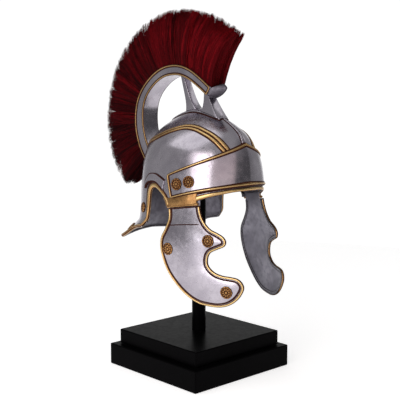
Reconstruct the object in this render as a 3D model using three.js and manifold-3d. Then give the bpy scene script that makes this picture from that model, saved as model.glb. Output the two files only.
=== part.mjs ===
// A Roman legionary's helmet with a fore-and-aft plume, held up on its square two-step stand.
// Millimetres, +Z up. The origin is the middle of the stand's underside, and the face looks along -Y.
// The wearer's right is the -X side.

import * as THREE from 'three';
import { mergeVertices } from 'three/addons/utils/BufferGeometryUtils.js';
import Module from 'manifold-3d';

const wasm = await Module();
wasm.setup();

// Driving dimensions: the stand
const standSide = 240;
const standThick = 40;
const stepSide = 213;
const stepThick = 28;
const standEdge = 3;
const postDiameter = 26;
const padDiameter = 42;
const padRise = 24;

// Driving dimensions: the bowl and its openings
const rimHeight = 330;
const bowlHalfBreadth = 97.5;
const bowlFront = 126.5;
const bowlBack = 121;
const bowlForward = 2;
const bowlRise = 154;
const wall = 2.5;
const clearance = 0.4;
const seat = 0.6;
const faceRise = 14.5;
const earRise = 14.5;
const edgeTrimWidth = 7.5;
const edgeTrimProud = 2;
const edgeTrimInside = 1;
const bowlColumns = 44;

// Driving dimensions: the neck guard
const neckDrop = 50;
const neckSpread = 4;
const flangeReach = 37;
const flangeDrop = 37;
const flangeTurn = 115;
const flangeSweep = 1.15;
const flangeColumns = 34;

// Driving dimensions: the brow guard, the hoops and the ear guards
const browThick = 3.6;
const browTurn = 78;
const browPeak = 97;
const browRearTop = 42;
const browLow = 24;
const browRearLow = 0.6;
const browSlant = 0.075;
const browArch = 1.6;
const browColumns = 22;
const browTrimWidth = 5.5;
const browTrimProud = 1.6;
const hoopStrip = 7;
const hoopGroove = 2.4;
const hoopThick = 1.6;
const keelWidth = 5;
const keelThick = 1.6;
const earGuardWidth = 13;
const earGuardProud = 5.5;
const earGuardEdge = 2.5;
const earGuardTaper = 0.6;
const rosetteRadius = 9.5;
const cheekRosetteRadius = 11;
const rosetteThick = 2.6;

// Driving dimensions: the cheek guards and their hinges
const cheekThick = 2.6;
const cheekSpan = 159;
const cheekDrop = 176;
const cheekRear = 7.6;
const cheekTrimWidth = 6;
const cheekTrimProud = 1.6;
const hingeRear = 24;
const hingeSpan = 60;
const hingeFall = 15;
const hingeLean = 8.5;
const hingeRadius = 2.4;
const hingeProud = 1.2;

// Driving dimensions: the crest and its plume
const saddleHalfWidth = 15;
const saddleFront = 66;
const saddleBack = 62;
const saddleThick = 3;
const saddleRound = 0.25;
const crestWidth = 36;
const crestSpan = 214;
const crestRise = 181;
const crestHeel = 17.18;
const crestFall = 98;
const crestDepth = 20;
const crestTrimWidth = 4;
const crestTrimThick = 1.8;
const prowReach = 25;
const prowTip = 3;
const prowDraw = 0.25;
const prowRake = 0.35;
const prowLift = 10.5;
const plumeLength = 104;
const plumeSpread = 44;
const plumeCurl = 12;
const plumeTaper = 0.55;
const lockShort = 0.035;
const backingThick = 5;
const backingInset = 2;
const lockRipple = 3;
const tufts = 6;

// How the bowl draws in above its rim. Each row is a latitude in degrees, 0 at the rim and 90 at
// the crown. The breadth, front and back are shares of the true dome's, and square is the power
// of the section's oval: 2 is an ellipse, more is squarer.
const bowlRows = [
  { lat: 0, breadth: 1, front: 1, back: 1, squareFront: 2.3, squareBack: 2.05 },
  { lat: 11, breadth: 1.015, front: 1.006, back: 1.02, squareFront: 2.15, squareBack: 1.95 },
  { lat: 23, breadth: 1.05, front: 1.05, back: 1.075, squareFront: 2.02, squareBack: 1.88 },
  { lat: 36, breadth: 1.08, front: 1.12, back: 1.14, squareFront: 1.9, squareBack: 1.8 },
  { lat: 48, breadth: 1.0, front: 1.21, back: 1.17, squareFront: 1.8, squareBack: 1.76 },
  { lat: 59, breadth: 0.83, front: 1.2, back: 1.13, squareFront: 1.76, squareBack: 1.76 },
  { lat: 68, breadth: 0.73, front: 1.17, back: 1.07, squareFront: 1.76, squareBack: 1.76 },
  { lat: 77, breadth: 0.68, front: 1.05, back: 0.99, squareFront: 1.8, squareBack: 1.8 },
  { lat: 90, breadth: 0.66, front: 1, back: 0.95, squareFront: 2, squareBack: 2 },
];

// The edge of the face opening in side view, from the brow's middle to the hinge: along is a share
// of bowlFront before the bowl's middle, and up a share of faceRise over the rim.
const faceEdgeRows = [
  { along: 1.2, up: 1.02 },
  { along: 1.0, up: 1 },
  { along: 0.92, up: 0.82 },
  { along: 0.78, up: 0.42 },
  { along: 0.62, up: -0.15 },
];

// The edge of the ear opening in side view, from the hinge over the ear and down the neck guard:
// back is a share of bowlBack behind the bowl's middle, and up a share of earRise over the rim.
const earEdgeRows = [
  { back: -0.172, up: -1.05 },
  { back: -0.15, up: -0.45 },
  { back: -0.08, up: 0.2 },
  { back: 0.015, up: 0.72 },
  { back: 0.105, up: 1 },
  { back: 0.185, up: 0.86 },
  { back: 0.235, up: 0.3 },
  { back: 0.255, up: -0.6 },
  { back: 0.27, up: -1.7 },
  { back: 0.29, up: -3.2 },
];

// The neck flange: turn is measured from the face round to the nape in degrees, out is a share of
// flangeReach past the neck wall, and drop a share of flangeDrop below it.
const flangeRows = [
  { turn: 0, out: 0.2, drop: 0.22 },
  { turn: 0.08, out: 0.23, drop: 0.26 },
  { turn: 0.23, out: 0.38, drop: 0.4 },
  { turn: 0.38, out: 0.82, drop: 0.84 },
  { turn: 0.47, out: 1, drop: 1 },
  { turn: 0.56, out: 0.9, drop: 0.98 },
  { turn: 0.75, out: 0.62, drop: 0.86 },
  { turn: 1, out: 0.5, drop: 0.78 },
];

// The hoop over each side of the bowl: turn in degrees from the face, up a share of bowlRise.
const hoopRows = [
  { turn: 19.5, up: 0.58 },
  { turn: 25, up: 0.667 },
  { turn: 33, up: 0.737 },
  { turn: 48, up: 0.796 },
  { turn: 73, up: 0.808 },
  { turn: 99, up: 0.764 },
  { turn: 122, up: 0.69 },
  { turn: 147, up: 0.6 },
  { turn: 166, up: 0.49 },
];

// The cheek guard's outline in side view, from its rear top corner round to its front top one:
// forward is a share of cheekSpan from its rearmost point, and down a share of cheekDrop.
const cheekRows = [
  { forward: 0.104, down: 0.02 },
  { forward: 0.115, down: 0.14 },
  { forward: 0.07, down: 0.245 },
  { forward: 0.01, down: 0.345 },
  { forward: 0, down: 0.45 },
  { forward: 0.037, down: 0.575 },
  { forward: 0.115, down: 0.71 },
  { forward: 0.225, down: 0.825 },
  { forward: 0.346, down: 0.918 },
  { forward: 0.476, down: 0.98 },
  { forward: 0.6, down: 1 },
  { forward: 0.734, down: 1 },
  { forward: 0.847, down: 0.966 },
  { forward: 0.941, down: 0.894 },
  { forward: 1, down: 0.796 },
  { forward: 0.99, down: 0.73 },
  { forward: 0.94, down: 0.686 },
  { forward: 0.861, down: 0.672 },
  { forward: 0.778, down: 0.665 },
  { forward: 0.694, down: 0.638 },
  { forward: 0.633, down: 0.582 },
  { forward: 0.625, down: 0.515 },
  { forward: 0.652, down: 0.456 },
  { forward: 0.731, down: 0.415 },
  { forward: 0.8, down: 0.382 },
  { forward: 0.818, down: 0.333 },
  { forward: 0.79, down: 0.286 },
  { forward: 0.725, down: 0.25 },
  { forward: 0.641, down: 0.215 },
  { forward: 0.572, down: 0.152 },
  { forward: 0.524, down: 0.07 },
  { forward: 0.497, down: -0.03 },
];

// How the cheek guards bow in towards the chin: down is a share of cheekDrop below the rim, and the
// others are shares of bowlHalfBreadth under the bowl's middle, at ahead 0.65 and at ahead 1.3, where
// ahead is a share of bowlFront.
const cheekBowRows = [
  { down: 0, rear: 1.055, middle: 0.843, front: 0.453 },
  { down: 0.35, rear: 1.074, middle: 0.893, front: 0.535 },
  { down: 0.7, rear: 1.069, middle: 0.898, front: 0.55 },
  { down: 1.05, rear: 1.039, middle: 0.858, front: 0.5 },
];
const cheekMiddle = 0.65;

// The crest box from its foot at the nape to its front end: along is a share of crestSpan behind
// the front end, up a share of crestRise over the foot, depth a share of crestDepth, and plume a
// share of plumeLength.
const crestRows = [
  { along: 0.87, up: 0, depth: 1.25, plume: 0.84 },
  { along: 0.952, up: 0.155, depth: 1.3, plume: 0.96 },
  { along: 1, up: 0.36, depth: 1.3, plume: 1.01 },
  { along: 0.984, up: 0.58, depth: 1.2, plume: 0.98 },
  { along: 0.908, up: 0.746, depth: 1.06, plume: 1 },
  { along: 0.78, up: 0.882, depth: 1, plume: 1 },
  { along: 0.64, up: 0.968, depth: 0.98, plume: 1 },
  { along: 0.503, up: 1, depth: 0.98, plume: 1 },
  { along: 0.37, up: 0.992, depth: 0.96, plume: 1.01 },
  { along: 0.24, up: 0.942, depth: 0.94, plume: 1.03 },
  { along: 0.113, up: 0.857, depth: 0.92, plume: 1.06 },
  { along: 0, up: 0.768, depth: 0.9, plume: 1.08 },
];

// The struts between the saddle and the crest: the y places are shares of saddleFront behind the
// origin, and the widths are shares of saddleHalfWidth.
const strutRows = [
  {
    name: 'front', footFront: -0.91, footBack: -0.364, footWidth: 0.9,
    headFront: -0.583, headBack: -0.348, headWidth: 0.6,
  },
  {
    name: 'mid', footFront: -0.303, footBack: 0.227, footWidth: 0.6,
    headFront: 0.258, headBack: 0.576, headWidth: 0.53,
  },
];

// Half of a rosette's section: both are shares, of its radius and of rosetteThick.
const petalRing = 0.8;
const rosetteRows = [
  { out: 0, up: 0 },
  { out: 1, up: 0 },
  { out: petalRing, up: 0.7 },
  { out: 0.34, up: 0.45 },
  { out: 0, up: 1 },
];
const petals = 8;
const petalRise = 0.22;

// Rosettes: forward and down as on the cheek outline, turn and up as on the bowl.
const cheekRosettes = [
  { name: 'rear', forward: 0.11, down: 0.455 },
  { name: 'front', forward: 0.635, down: 0.35 },
  { name: 'chin', forward: 0.835, down: 0.832 },
];
const browRosettes = [
  { name: 'rear', turn: 65, up: 0.172 },
  { name: 'front', turn: 52.5, up: 0.204 },
];
const neckRosettes = [
  { name: 'wall', along: 0.14, out: -0.5 },
  { name: 'flange', along: 0.42, out: 0.5 },
];

const degrees = Math.PI / 180;
const standTop = standThick + stepThick;
const crownHeight = rimHeight + bowlRise;
const bowlMiddle = -bowlForward;
const neckBottom = rimHeight - neckDrop;
const crestFoot = crownHeight - crestFall;
const crestFront = bowlMiddle + bowlBack + crestHeel - crestRows[0].along * crestSpan;

// Reads a column of a table at any place between its rows, on a smooth curve through them.
function readRows(rows, by, column, value) {
  const last = rows.length - 1;
  const at = THREE.MathUtils.clamp(value, rows[0][by], rows[last][by]);
  let k = 0;
  while (k < last - 1 && at > rows[k + 1][by]) k += 1;
  const slope = (i) => {
    const low = rows[Math.max(i - 1, 0)];
    const high = rows[Math.min(i + 1, last)];
    return (high[column] - low[column]) / (high[by] - low[by]);
  };
  const step = rows[k + 1][by] - rows[k][by];
  const t = (at - rows[k][by]) / step;
  const fall = (1 - t) * (1 - t);
  const rise = t * t;
  return rows[k][column] * fall * (1 + 2 * t) + rows[k + 1][column] * rise * (3 - 2 * t)
    + slope(k) * step * t * fall + slope(k + 1) * step * rise * (t - 1);
}

// The outer surface of the bowl and neck wall. Turn is in radians from the face towards +X.
function bowlPoint(turn, height) {
  const up = THREE.MathUtils.clamp((height - rimHeight) / bowlRise, 0, 1);
  const lat = Math.asin(up);
  const draw = Math.cos(lat);
  const forward = Math.cos(turn) > 0;
  const row = (column) => readRows(bowlRows, 'lat', column, lat / degrees);
  const spread = neckSpread * Math.max((rimHeight - height) / neckDrop, 0) ** 2;
  const breadth = bowlHalfBreadth * draw * row('breadth') + spread;
  const length = (forward ? bowlFront * row('front') : bowlBack * row('back')) * draw + spread;
  const square = row(forward ? 'squareFront' : 'squareBack');
  if (up === 1) return new THREE.Vector3(0, bowlMiddle, height);
  const reach = (Math.abs(Math.cos(turn)) / length) ** square
    + (Math.abs(Math.sin(turn)) / breadth) ** square;
  const radius = reach ** (-1 / square);
  return new THREE.Vector3(
    radius * Math.sin(turn), bowlMiddle - radius * Math.cos(turn), height,
  );
}

// The point of the bowl's side that lies at y and z in side view, on the side of sign.
function bowlSide(y, z, sign) {
  const place = (turn) => bowlPoint(turn, z).y;
  let low = 0;
  let high = Math.PI;
  for (let k = 0; k < 40; k += 1) {
    const mid = (low + high) / 2;
    if (place(mid) < y) low = mid;
    else high = mid;
  }
  return bowlPoint(sign * low, z);
}

// The bowl's top over the point x, y.
function bowlTop(x, y) {
  const turn = Math.atan2(x, bowlMiddle - y);
  const radius = Math.hypot(x, y - bowlMiddle);
  let low = 0;
  let high = Math.PI / 2;
  for (let k = 0; k < 40; k += 1) {
    const mid = (low + high) / 2;
    const edge = bowlPoint(turn, rimHeight + bowlRise * Math.sin(mid));
    if (Math.hypot(edge.x, edge.y - bowlMiddle) > radius) low = mid;
    else high = mid;
  }
  return rimHeight + bowlRise * Math.sin(low);
}

// The small steps, in radians and in millimetres, that a surface's slope is taken over.
const turnStep = 0.02;
const sideStep = 0.5;

// A surface's unit normal, turned away from the helmet's upright middle line.
function outward(surface, a, b, stepA, stepB) {
  const alongA = surface(a + stepA, b).sub(surface(a - stepA, b));
  const alongB = surface(a, b + stepB).sub(surface(a, b - stepB));
  const normal = alongA.cross(alongB).normalize();
  const here = surface(a, b);
  const away = new THREE.Vector3(here.x, here.y - bowlMiddle, 0);
  if (here.z > crownHeight - wall * 4) away.set(0, 0, 1);
  return normal.dot(away) < 0 ? normal.negate() : normal;
}

function onBowl(turn, height, lift) {
  const level = Math.min(height, crownHeight - wall / 4);
  const normal = outward(bowlPoint, turn, level, turnStep, sideStep);
  return bowlPoint(turn, height).addScaledVector(normal, lift);
}

function onBowlSide(y, z, sign, lift) {
  const place = (alongY, alongZ) => bowlSide(alongY, alongZ, sign);
  return place(y, z).addScaledVector(outward(place, y, z, sideStep, sideStep), lift);
}

// The neck flange. Along runs from 0 at one end of the neck wall to 1 at the nape and 2 at the
// other end, and out from 0 at the wall to 1 at the rim.
function flangePoint(along, out) {
  const fromEnd = along > 1 ? 2 - along : along;
  const turn = (flangeTurn + (180 - flangeTurn) * along) * degrees;
  const root = bowlPoint(turn, neckBottom);
  const reach = flangeReach * readRows(flangeRows, 'turn', 'out', fromEnd);
  const drop = flangeDrop * readRows(flangeRows, 'turn', 'drop', fromEnd);
  const away = new THREE.Vector3(root.x, root.y - bowlMiddle, 0).normalize();
  return root.addScaledVector(away, reach * out ** flangeSweep).setZ(neckBottom - drop * out);
}

function onFlange(along, out, lift) {
  const normal = outward(flangePoint, along, Math.max(out, 0.05), 0.01, 0.04);
  return flangePoint(along, out).addScaledVector(normal, lift);
}

// The cheek guard's outer surface at y and z in side view, on the side of sign.
function cheekPoint(y, z, sign) {
  const ahead = (bowlMiddle - y) / bowlFront;
  const below = (rimHeight - z) / cheekDrop;
  const [rear, middle, front] = ['rear', 'middle', 'front'].map((column) => (
    readRows(cheekBowRows, 'down', column, below)
  ));
  const t = ahead / cheekMiddle;
  const bow = rear + t * (middle - rear) + t * (t - 1) * (front - 2 * middle + rear) / 2;
  return new THREE.Vector3(sign * bowlHalfBreadth * bow, y, z);
}

function onCheek(y, z, sign, lift) {
  const place = (alongY, alongZ) => cheekPoint(alongY, alongZ, sign);
  return place(y, z).addScaledVector(outward(place, y, z, sideStep, sideStep), lift);
}

// Closes a list of points and triangles into one solid: shared points are merged, flat triangles
// are dropped, and the faces point out.
function closeSolid(points, triangles) {
  const soup = new THREE.BufferGeometry();
  soup.setAttribute('position', new THREE.Float32BufferAttribute(points.flatMap((p) => p.toArray()), 3));
  soup.setIndex(triangles);
  const merged = mergeVertices(soup, 1e-4);
  const source = merged.index.array;
  const place = merged.attributes.position;
  const kept = [];
  let volume = 0;
  const corner = (i) => new THREE.Vector3().fromBufferAttribute(place, i);
  for (let k = 0; k < source.length; k += 3) {
    const [a, b, c] = [source[k], source[k + 1], source[k + 2]];
    if (a === b || b === c || c === a) continue;
    kept.push(a, b, c);
    volume += corner(a).dot(corner(b).cross(corner(c)));
  }
  if (volume < 0) kept.reverse();
  const geometry = new THREE.BufferGeometry();
  geometry.setAttribute('position', place);
  geometry.setIndex(kept);
  geometry.computeVertexNormals();
  return geometry;
}

// A curved plate over a grid: place(u, v, side) is a point of its outer face for side 1 and of its
// inner face for side 0, with u and v from 0 to 1. A round plate closes on itself in u.
function plate(across, up, place, round = false) {
  const points = [];
  const columns = round ? across : across + 1;
  for (let side = 0; side < 2; side += 1) {
    for (let i = 0; i < columns; i += 1) {
      for (let j = 0; j <= up; j += 1) points.push(place(i / across, j / up, side));
    }
  }
  const index = (side, i, j) => (side * columns + (i % columns)) * (up + 1) + j;
  const triangles = [];
  const quad = (a, b, c, d) => triangles.push(a, b, c, a, c, d);
  for (let i = 0; i < across; i += 1) {
    for (let j = 0; j < up; j += 1) {
      quad(index(1, i, j), index(1, i + 1, j), index(1, i + 1, j + 1), index(1, i, j + 1));
      quad(index(0, i, j), index(0, i, j + 1), index(0, i + 1, j + 1), index(0, i + 1, j));
    }
    quad(index(0, i, 0), index(0, i + 1, 0), index(1, i + 1, 0), index(1, i, 0));
    quad(index(1, i, up), index(1, i + 1, up), index(0, i + 1, up), index(0, i, up));
  }
  for (let j = 0; !round && j < up; j += 1) {
    quad(index(0, 0, j), index(1, 0, j), index(1, 0, j + 1), index(0, 0, j + 1));
    quad(index(1, across, j), index(0, across, j), index(0, across, j + 1), index(1, across, j + 1));
  }
  return closeSolid(points, triangles);
}

function toManifold(geometry) {
  const bare = geometry.clone();
  bare.deleteAttribute('normal');
  bare.deleteAttribute('uv');
  const merged = mergeVertices(bare, 1e-4);
  const indices = merged.index.array;
  return new wasm.Manifold(new wasm.Mesh({
    numProp: 3,
    vertProperties: new Float32Array(merged.attributes.position.array),
    triVerts: new Uint32Array(indices),
  }));
}

function fromManifold(solid) {
  const mesh = solid.getMesh();
  const points = [];
  for (let k = 0; k < mesh.vertProperties.length; k += mesh.numProp) {
    points.push(new THREE.Vector3().fromArray(mesh.vertProperties, k));
  }
  return closeSolid(points, Array.from(mesh.triVerts));
}

// A prism that runs along X through the side-view outline of points.
function sidePrism(outline, fromX, toX) {
  const shape = new THREE.Shape(outline);
  const prism = new THREE.ExtrudeGeometry(shape, { depth: toX - fromX, bevelEnabled: false });
  prism.applyMatrix4(new THREE.Matrix4().makeBasis(
    new THREE.Vector3(0, 1, 0), new THREE.Vector3(0, 0, 1), new THREE.Vector3(1, 0, 0),
  ));
  prism.translate(fromX, 0, 0);
  return prism;
}

// Moves a side-view line sideways by a distance, to the right of its direction.
function offsetLine(line, distance) {
  return line.map((point, k) => {
    const before = line[Math.max(k - 1, 0)];
    const after = line[Math.min(k + 1, line.length - 1)];
    const way = after.clone().sub(before).normalize();
    return new THREE.Vector2(point.x + way.y * distance, point.y - way.x * distance);
  });
}

const smoothLine = (points, steps) => new THREE.SplineCurve(points).getPoints(steps);

// The side-view lines of the openings, from the brow back to the foot of the neck wall
const faceEdge = smoothLine(faceEdgeRows.map((row) => new THREE.Vector2(
  bowlMiddle - row.along * bowlFront, rimHeight + row.up * faceRise,
)), 12);
const earEdge = smoothLine(earEdgeRows.map((row) => new THREE.Vector2(
  bowlMiddle + row.back * bowlBack, rimHeight + row.up * earRise,
)), 22);
const trimTop = edgeTrimWidth + 2 * clearance;
const faceCut = offsetLine(faceEdge, -trimTop);
const earCut = offsetLine(earEdge, -trimTop);
const bandTop = rimHeight - clearance;
const faceEnd = faceEdge[faceEdge.length - 1].x;

// Where the metal's cut over the ear stands in side view at the height z, ahead of the ear
function earCutAt(z) {
  let k = 0;
  while (k < earCut.length - 2 && z > earCut[k + 1].y) k += 1;
  const share = (z - earCut[k].y) / (earCut[k + 1].y - earCut[k].y);
  return earCut[k].x + (earCut[k + 1].x - earCut[k].x) * share;
}

// The whole outer body of the bowl down to the neck's bottom, grown by lift
function bowlBody(lift, drop = neckDrop) {
  const neckShare = 0.15;
  return plate(bowlColumns, 12, (u, v, side) => {
    const below = THREE.MathUtils.clamp(v / neckShare, 0, 1);
    const lat = THREE.MathUtils.clamp((v - neckShare) / (1 - neckShare), 0, 1) * 90 * degrees;
    const height = rimHeight - drop * (1 - below) + bowlRise * Math.sin(lat);
    if (side === 0) return new THREE.Vector3(0, bowlMiddle, v === 1 ? height + lift : height);
    if (v === 1) return new THREE.Vector3(0, bowlMiddle, height + lift);
    return onBowl(u * 2 * Math.PI, height, lift);
  }, true);
}

// The share of the flange's width, from the wall out, at which its gold edge starts
function flangeTrimStart(along) {
  const width = flangePoint(along, 1).distanceTo(flangePoint(along, 0));
  return Math.max(1 - edgeTrimWidth / width, 0.4);
}

// The hollow bowl, cut away over the face and the ears, with the neck flange fused on behind
function bowlGeometry() {
  const far = bowlHalfBreadth + bowlFront;
  const deep = neckBottom - trimTop;
  const opening = sidePrism([
    new THREE.Vector2(bowlMiddle - far, deep),
    new THREE.Vector2(earCut[earCut.length - 1].x, deep),
    ...earCut.filter((point) => point.y > bandTop || point.x > 0).reverse(),
    new THREE.Vector2(earCutAt(bandTop) - 2 * clearance, bandTop),
    new THREE.Vector2(faceEnd + 4 * clearance, bandTop),
    ...faceCut.slice().reverse(),
    new THREE.Vector2(bowlMiddle - far, faceCut[0].y),
  ], -far, far);
  const flange = plate(flangeColumns, 3, (u, v, side) => {
    const width = flangePoint(u * 2, 1).distanceTo(flangePoint(u * 2, 0));
    const inner = flangeTrimStart(u * 2) - 2 * clearance / width;
    const point = onFlange(u * 2, v * inner, side === 1 ? 0 : -wall);
    return v === 0 ? point.setZ(point.z + wall) : point;
  });
  return fromManifold(
    toManifold(bowlBody(0)).subtract(toManifold(bowlBody(-wall, neckDrop + wall)))
      .subtract(toManifold(opening)).add(toManifold(flange)),
  );
}

// The rolled gold edge over the face, from hinge to hinge
function faceTrim() {
  const edgeHeight = (y) => {
    const line = faceEdge;
    let k = 0;
    while (k < line.length - 2 && y > line[k + 1].x) k += 1;
    const share = THREE.MathUtils.clamp((y - line[k].x) / (line[k + 1].x - line[k].x), 0, 1);
    return line[k].y + (line[k + 1].y - line[k].y) * share;
  };
  const reach = findTurn(faceEnd);
  return plate(22, 1, (u, v, side) => {
    const turn = (2 * u - 1) * reach;
    let height = rimHeight;
    for (let k = 0; k < 4; k += 1) height = edgeHeight(bowlPoint(turn, height).y);
    return onBowl(turn, height + v * edgeTrimWidth, side === 1 ? edgeTrimProud : -wall - edgeTrimInside);
  });
}

// The turn at which the bowl's rim stands at y
function findTurn(y) {
  let low = 0;
  let high = Math.PI;
  for (let k = 0; k < 30; k += 1) {
    const mid = (low + high) / 2;
    if (bowlPoint(mid, rimHeight).y < y) low = mid;
    else high = mid;
  }
  return low;
}

// The rolled gold edge over one ear and down the neck wall
function earTrim(sign) {
  const line = earEdge.filter((point) => (
    point.y > (point.x > 0 ? neckBottom + 2 * clearance : hingeHeight(point.x) + hingeRadius + clearance)
  ));
  const back = offsetLine(line, -edgeTrimWidth);
  return plate(line.length - 1, 1, (u, v, side) => {
    const k = Math.round(u * (line.length - 1));
    const at = line[k].clone().lerp(back[k], v);
    return onBowlSide(at.x, at.y, sign, side === 1 ? edgeTrimProud : -wall - edgeTrimInside);
  });
}

// The rolled gold edge round the neck flange
function flangeTrim() {
  return plate(flangeColumns, 1, (u, v, side) => {
    const start = flangeTrimStart(u * 2);
    return onFlange(u * 2, start + (1 - start) * v, side === 1 ? edgeTrimProud : -wall - edgeTrimInside);
  });
}

// A place on the brow guard: u runs from -1 at the right end to 1 at the left end, and v from 0 at
// the lower edge to 1 at the peaked upper edge.
function browPoint(u, v, lift) {
  const span = Math.abs(u);
  const slant = 1 - browSlant * (1 - v) * span;
  const turn = u * browTurn * slant * degrees;
  const top = browPeak + (browRearTop - browPeak) * span;
  const low = browRearLow + (browLow - browRearLow) * (1 - span ** browArch);
  return onBowl(turn, rimHeight + low + (top - low) * v, lift);
}
const browInset = () => ({
  u: browTrimWidth / (bowlHalfBreadth * browTurn * degrees),
  v: browTrimWidth / ((browRearTop - browRearLow + browPeak - browLow) / 2),
});

function browPlate() {
  const inset = browInset();
  const gapU = inset.u * (1 + clearance / browTrimWidth);
  const gapV = inset.v * (1 + clearance / browTrimWidth);
  return plate(browColumns, 3, (u, v, side) => browPoint(
    (2 * u - 1) * (1 - gapU), gapV + v * (1 - 2 * gapV), seat + side * browThick,
  ));
}

// The beaded border round the brow guard: a closed band between the guard's outline and an inset
function browTrim() {
  const inset = browInset();
  const long = browColumns;
  const short = 3;
  const corners = [[-1, 0, long], [1, 0, short], [1, 1, long], [-1, 1, short]];
  const loop = corners.flatMap(([u, v, steps], k) => {
    const [nextU, nextV] = corners[(k + 1) % corners.length];
    return Array.from({ length: steps }, (_, i) => [
      u + (nextU - u) * (i / steps), v + (nextV - v) * (i / steps),
    ]);
  });
  return plate(loop.length, 1, (share, across, side) => {
    const [u, v] = loop[Math.round(share * loop.length) % loop.length];
    const inU = u * (1 - inset.u * across);
    const inV = v + (0.5 - v) * 2 * inset.v * across;
    return browPoint(inU, inV, seat + side * (browThick + browTrimProud));
  }, true);
}

// The raised guard over one ear, outside the gold edge
function earGuard(sign) {
  const line = earEdge.slice(4, 17);
  const inner = offsetLine(line, -edgeTrimWidth - 2 * clearance);
  const outer = offsetLine(line, -edgeTrimWidth - 2 * clearance - earGuardWidth);
  return plate(line.length - 1, 2, (u, v, side) => {
    const k = Math.round(u * (line.length - 1));
    const taper = Math.sin(Math.PI * THREE.MathUtils.lerp(0.08, 0.92, u)) ** earGuardTaper;
    const at = inner[k].clone().lerp(outer[k], v * taper);
    const proud = THREE.MathUtils.lerp(earGuardProud, earGuardEdge, v);
    return onBowlSide(at.x, at.y, sign, clearance + side * proud);
  });
}

// The hinge line of one cheek guard, from its rear end to its front end
function hingeLine(sign) {
  const rear = onBowlSide(-hingeRear, rimHeight - hingeFall, sign, hingeProud);
  const front = onBowlSide(
    -hingeRear - hingeSpan, rimHeight - hingeFall + hingeLean, sign, hingeProud,
  );
  return [rear, front];
}
const hingeHeight = (y) => rimHeight - hingeFall - (y + hingeRear) * (hingeLean / hingeSpan);

// The gold band that carries one cheek guard, below the bowl's edge
function hingeBand(sign) {
  const front = faceEnd + clearance;
  return plate(8, 2, (u, v, side) => {
    const low = (y) => hingeHeight(y) + hingeRadius + clearance;
    const level = (y) => low(y) + (bandTop - clearance - low(y)) * v;
    let y = front;
    for (let k = 0; k < 3; k += 1) y = front + (earCutAt(level(y)) - clearance - front) * u;
    return onBowlSide(y, level(y), sign, side === 1 ? edgeTrimProud : -wall);
  });
}

// A round rod between two points
function rod(from, to, radius, sides) {
  const way = to.clone().sub(from);
  const bar = new THREE.CylinderGeometry(radius, radius, way.length(), sides);
  bar.applyQuaternion(new THREE.Quaternion().setFromUnitVectors(
    new THREE.Vector3(0, 1, 0), way.clone().normalize(),
  ));
  bar.translate(...from.clone().add(to).multiplyScalar(0.5).toArray());
  return bar;
}

// A cheek guard's outline in side view, drawn in from the edge by a distance
const cheekSide = (forward, down) => new THREE.Vector2(
  bowlMiddle - cheekRear - forward * cheekSpan,
  rimHeight - hingeFall + hingeLean - hingeRadius - clearance - down * cheekDrop,
);
function cheekOutline(inset) {
  const line = smoothLine(cheekRows.map((row) => cheekSide(row.forward, row.down)), 38);
  return offsetLine(line, inset);
}

// A curved slab of the cheek's surface between two lifts, cut to a side-view outline
function cheekSlab(sign, outline, low, high) {
  const sideBox = new THREE.Box2().setFromPoints(outline).expandByScalar(cheekThick);
  const slab = plate(7, 6, (u, v, side) => onCheek(
    sideBox.min.x + (sideBox.max.x - sideBox.min.x) * u,
    sideBox.min.y + (sideBox.max.y - sideBox.min.y) * v,
    sign, side === 1 ? high : low,
  ));
  const prism = sidePrism(outline, -bowlHalfBreadth * 2, bowlHalfBreadth * 2);
  return toManifold(slab).intersect(toManifold(prism));
}

// What lies under one hinge rod: the space that a cheek guard may fill
function belowHinge(sign) {
  const low = neckBottom - cheekDrop;
  const top = (y) => new THREE.Vector2(y, hingeHeight(y) - hingeRadius - clearance);
  const [rear, front] = [bowlMiddle, bowlMiddle - cheekSpan * 1.2];
  return toManifold(sidePrism([
    new THREE.Vector2(front, low), new THREE.Vector2(rear + cheekSpan, low),
    top(rear + cheekSpan), top(front),
  ], Math.min(0, sign * bowlHalfBreadth * 2), Math.max(0, sign * bowlHalfBreadth * 2)));
}

function cheekPlate(sign) {
  const outline = cheekOutline(cheekTrimWidth + clearance);
  return fromManifold(cheekSlab(sign, outline, -cheekThick, 0).intersect(belowHinge(sign)));
}

function cheekTrim(sign) {
  const low = -cheekThick - cheekTrimProud / 2;
  const solid = cheekSlab(sign, cheekOutline(0), low, cheekTrimProud);
  const hole = cheekSlab(sign, cheekOutline(cheekTrimWidth), low * 2, cheekTrimProud * 3);
  return fromManifold(solid.subtract(hole).intersect(belowHinge(sign)));
}

// A strap on the bowl along a path of frames, each with its point and its sideways way
function bowlStrap(frames, left, right, seat, thick) {
  return plate(frames.length - 1, 1, (u, v, side) => {
    const frame = frames[Math.round(u * (frames.length - 1))];
    const aim = frame.point.clone().addScaledVector(frame.sideways, left + (right - left) * v);
    const turn = Math.atan2(aim.x, bowlMiddle - aim.y);
    return onBowl(turn, aim.z, seat + side * thick);
  });
}

function framesOnBowl(path) {
  return path.map(([turn, height], k) => {
    const before = path[Math.max(k - 1, 0)];
    const after = path[Math.min(k + 1, path.length - 1)];
    const way = bowlPoint(...after).sub(bowlPoint(...before)).normalize();
    const normal = onBowl(turn, height, 1).sub(bowlPoint(turn, height));
    return { point: bowlPoint(turn, height), sideways: normal.cross(way).normalize() };
  });
}

// The two strips of the hoop over one side of the bowl
function hoopPath(sign) {
  const steps = 21;
  const first = hoopRows[0].turn;
  const last = hoopRows[hoopRows.length - 1].turn;
  return Array.from({ length: steps + 1 }, (_, k) => {
    const turn = first + (last - first) * (k / steps);
    return [sign * turn * degrees, rimHeight + bowlRise * readRows(hoopRows, 'turn', 'up', turn)];
  });
}

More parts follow.
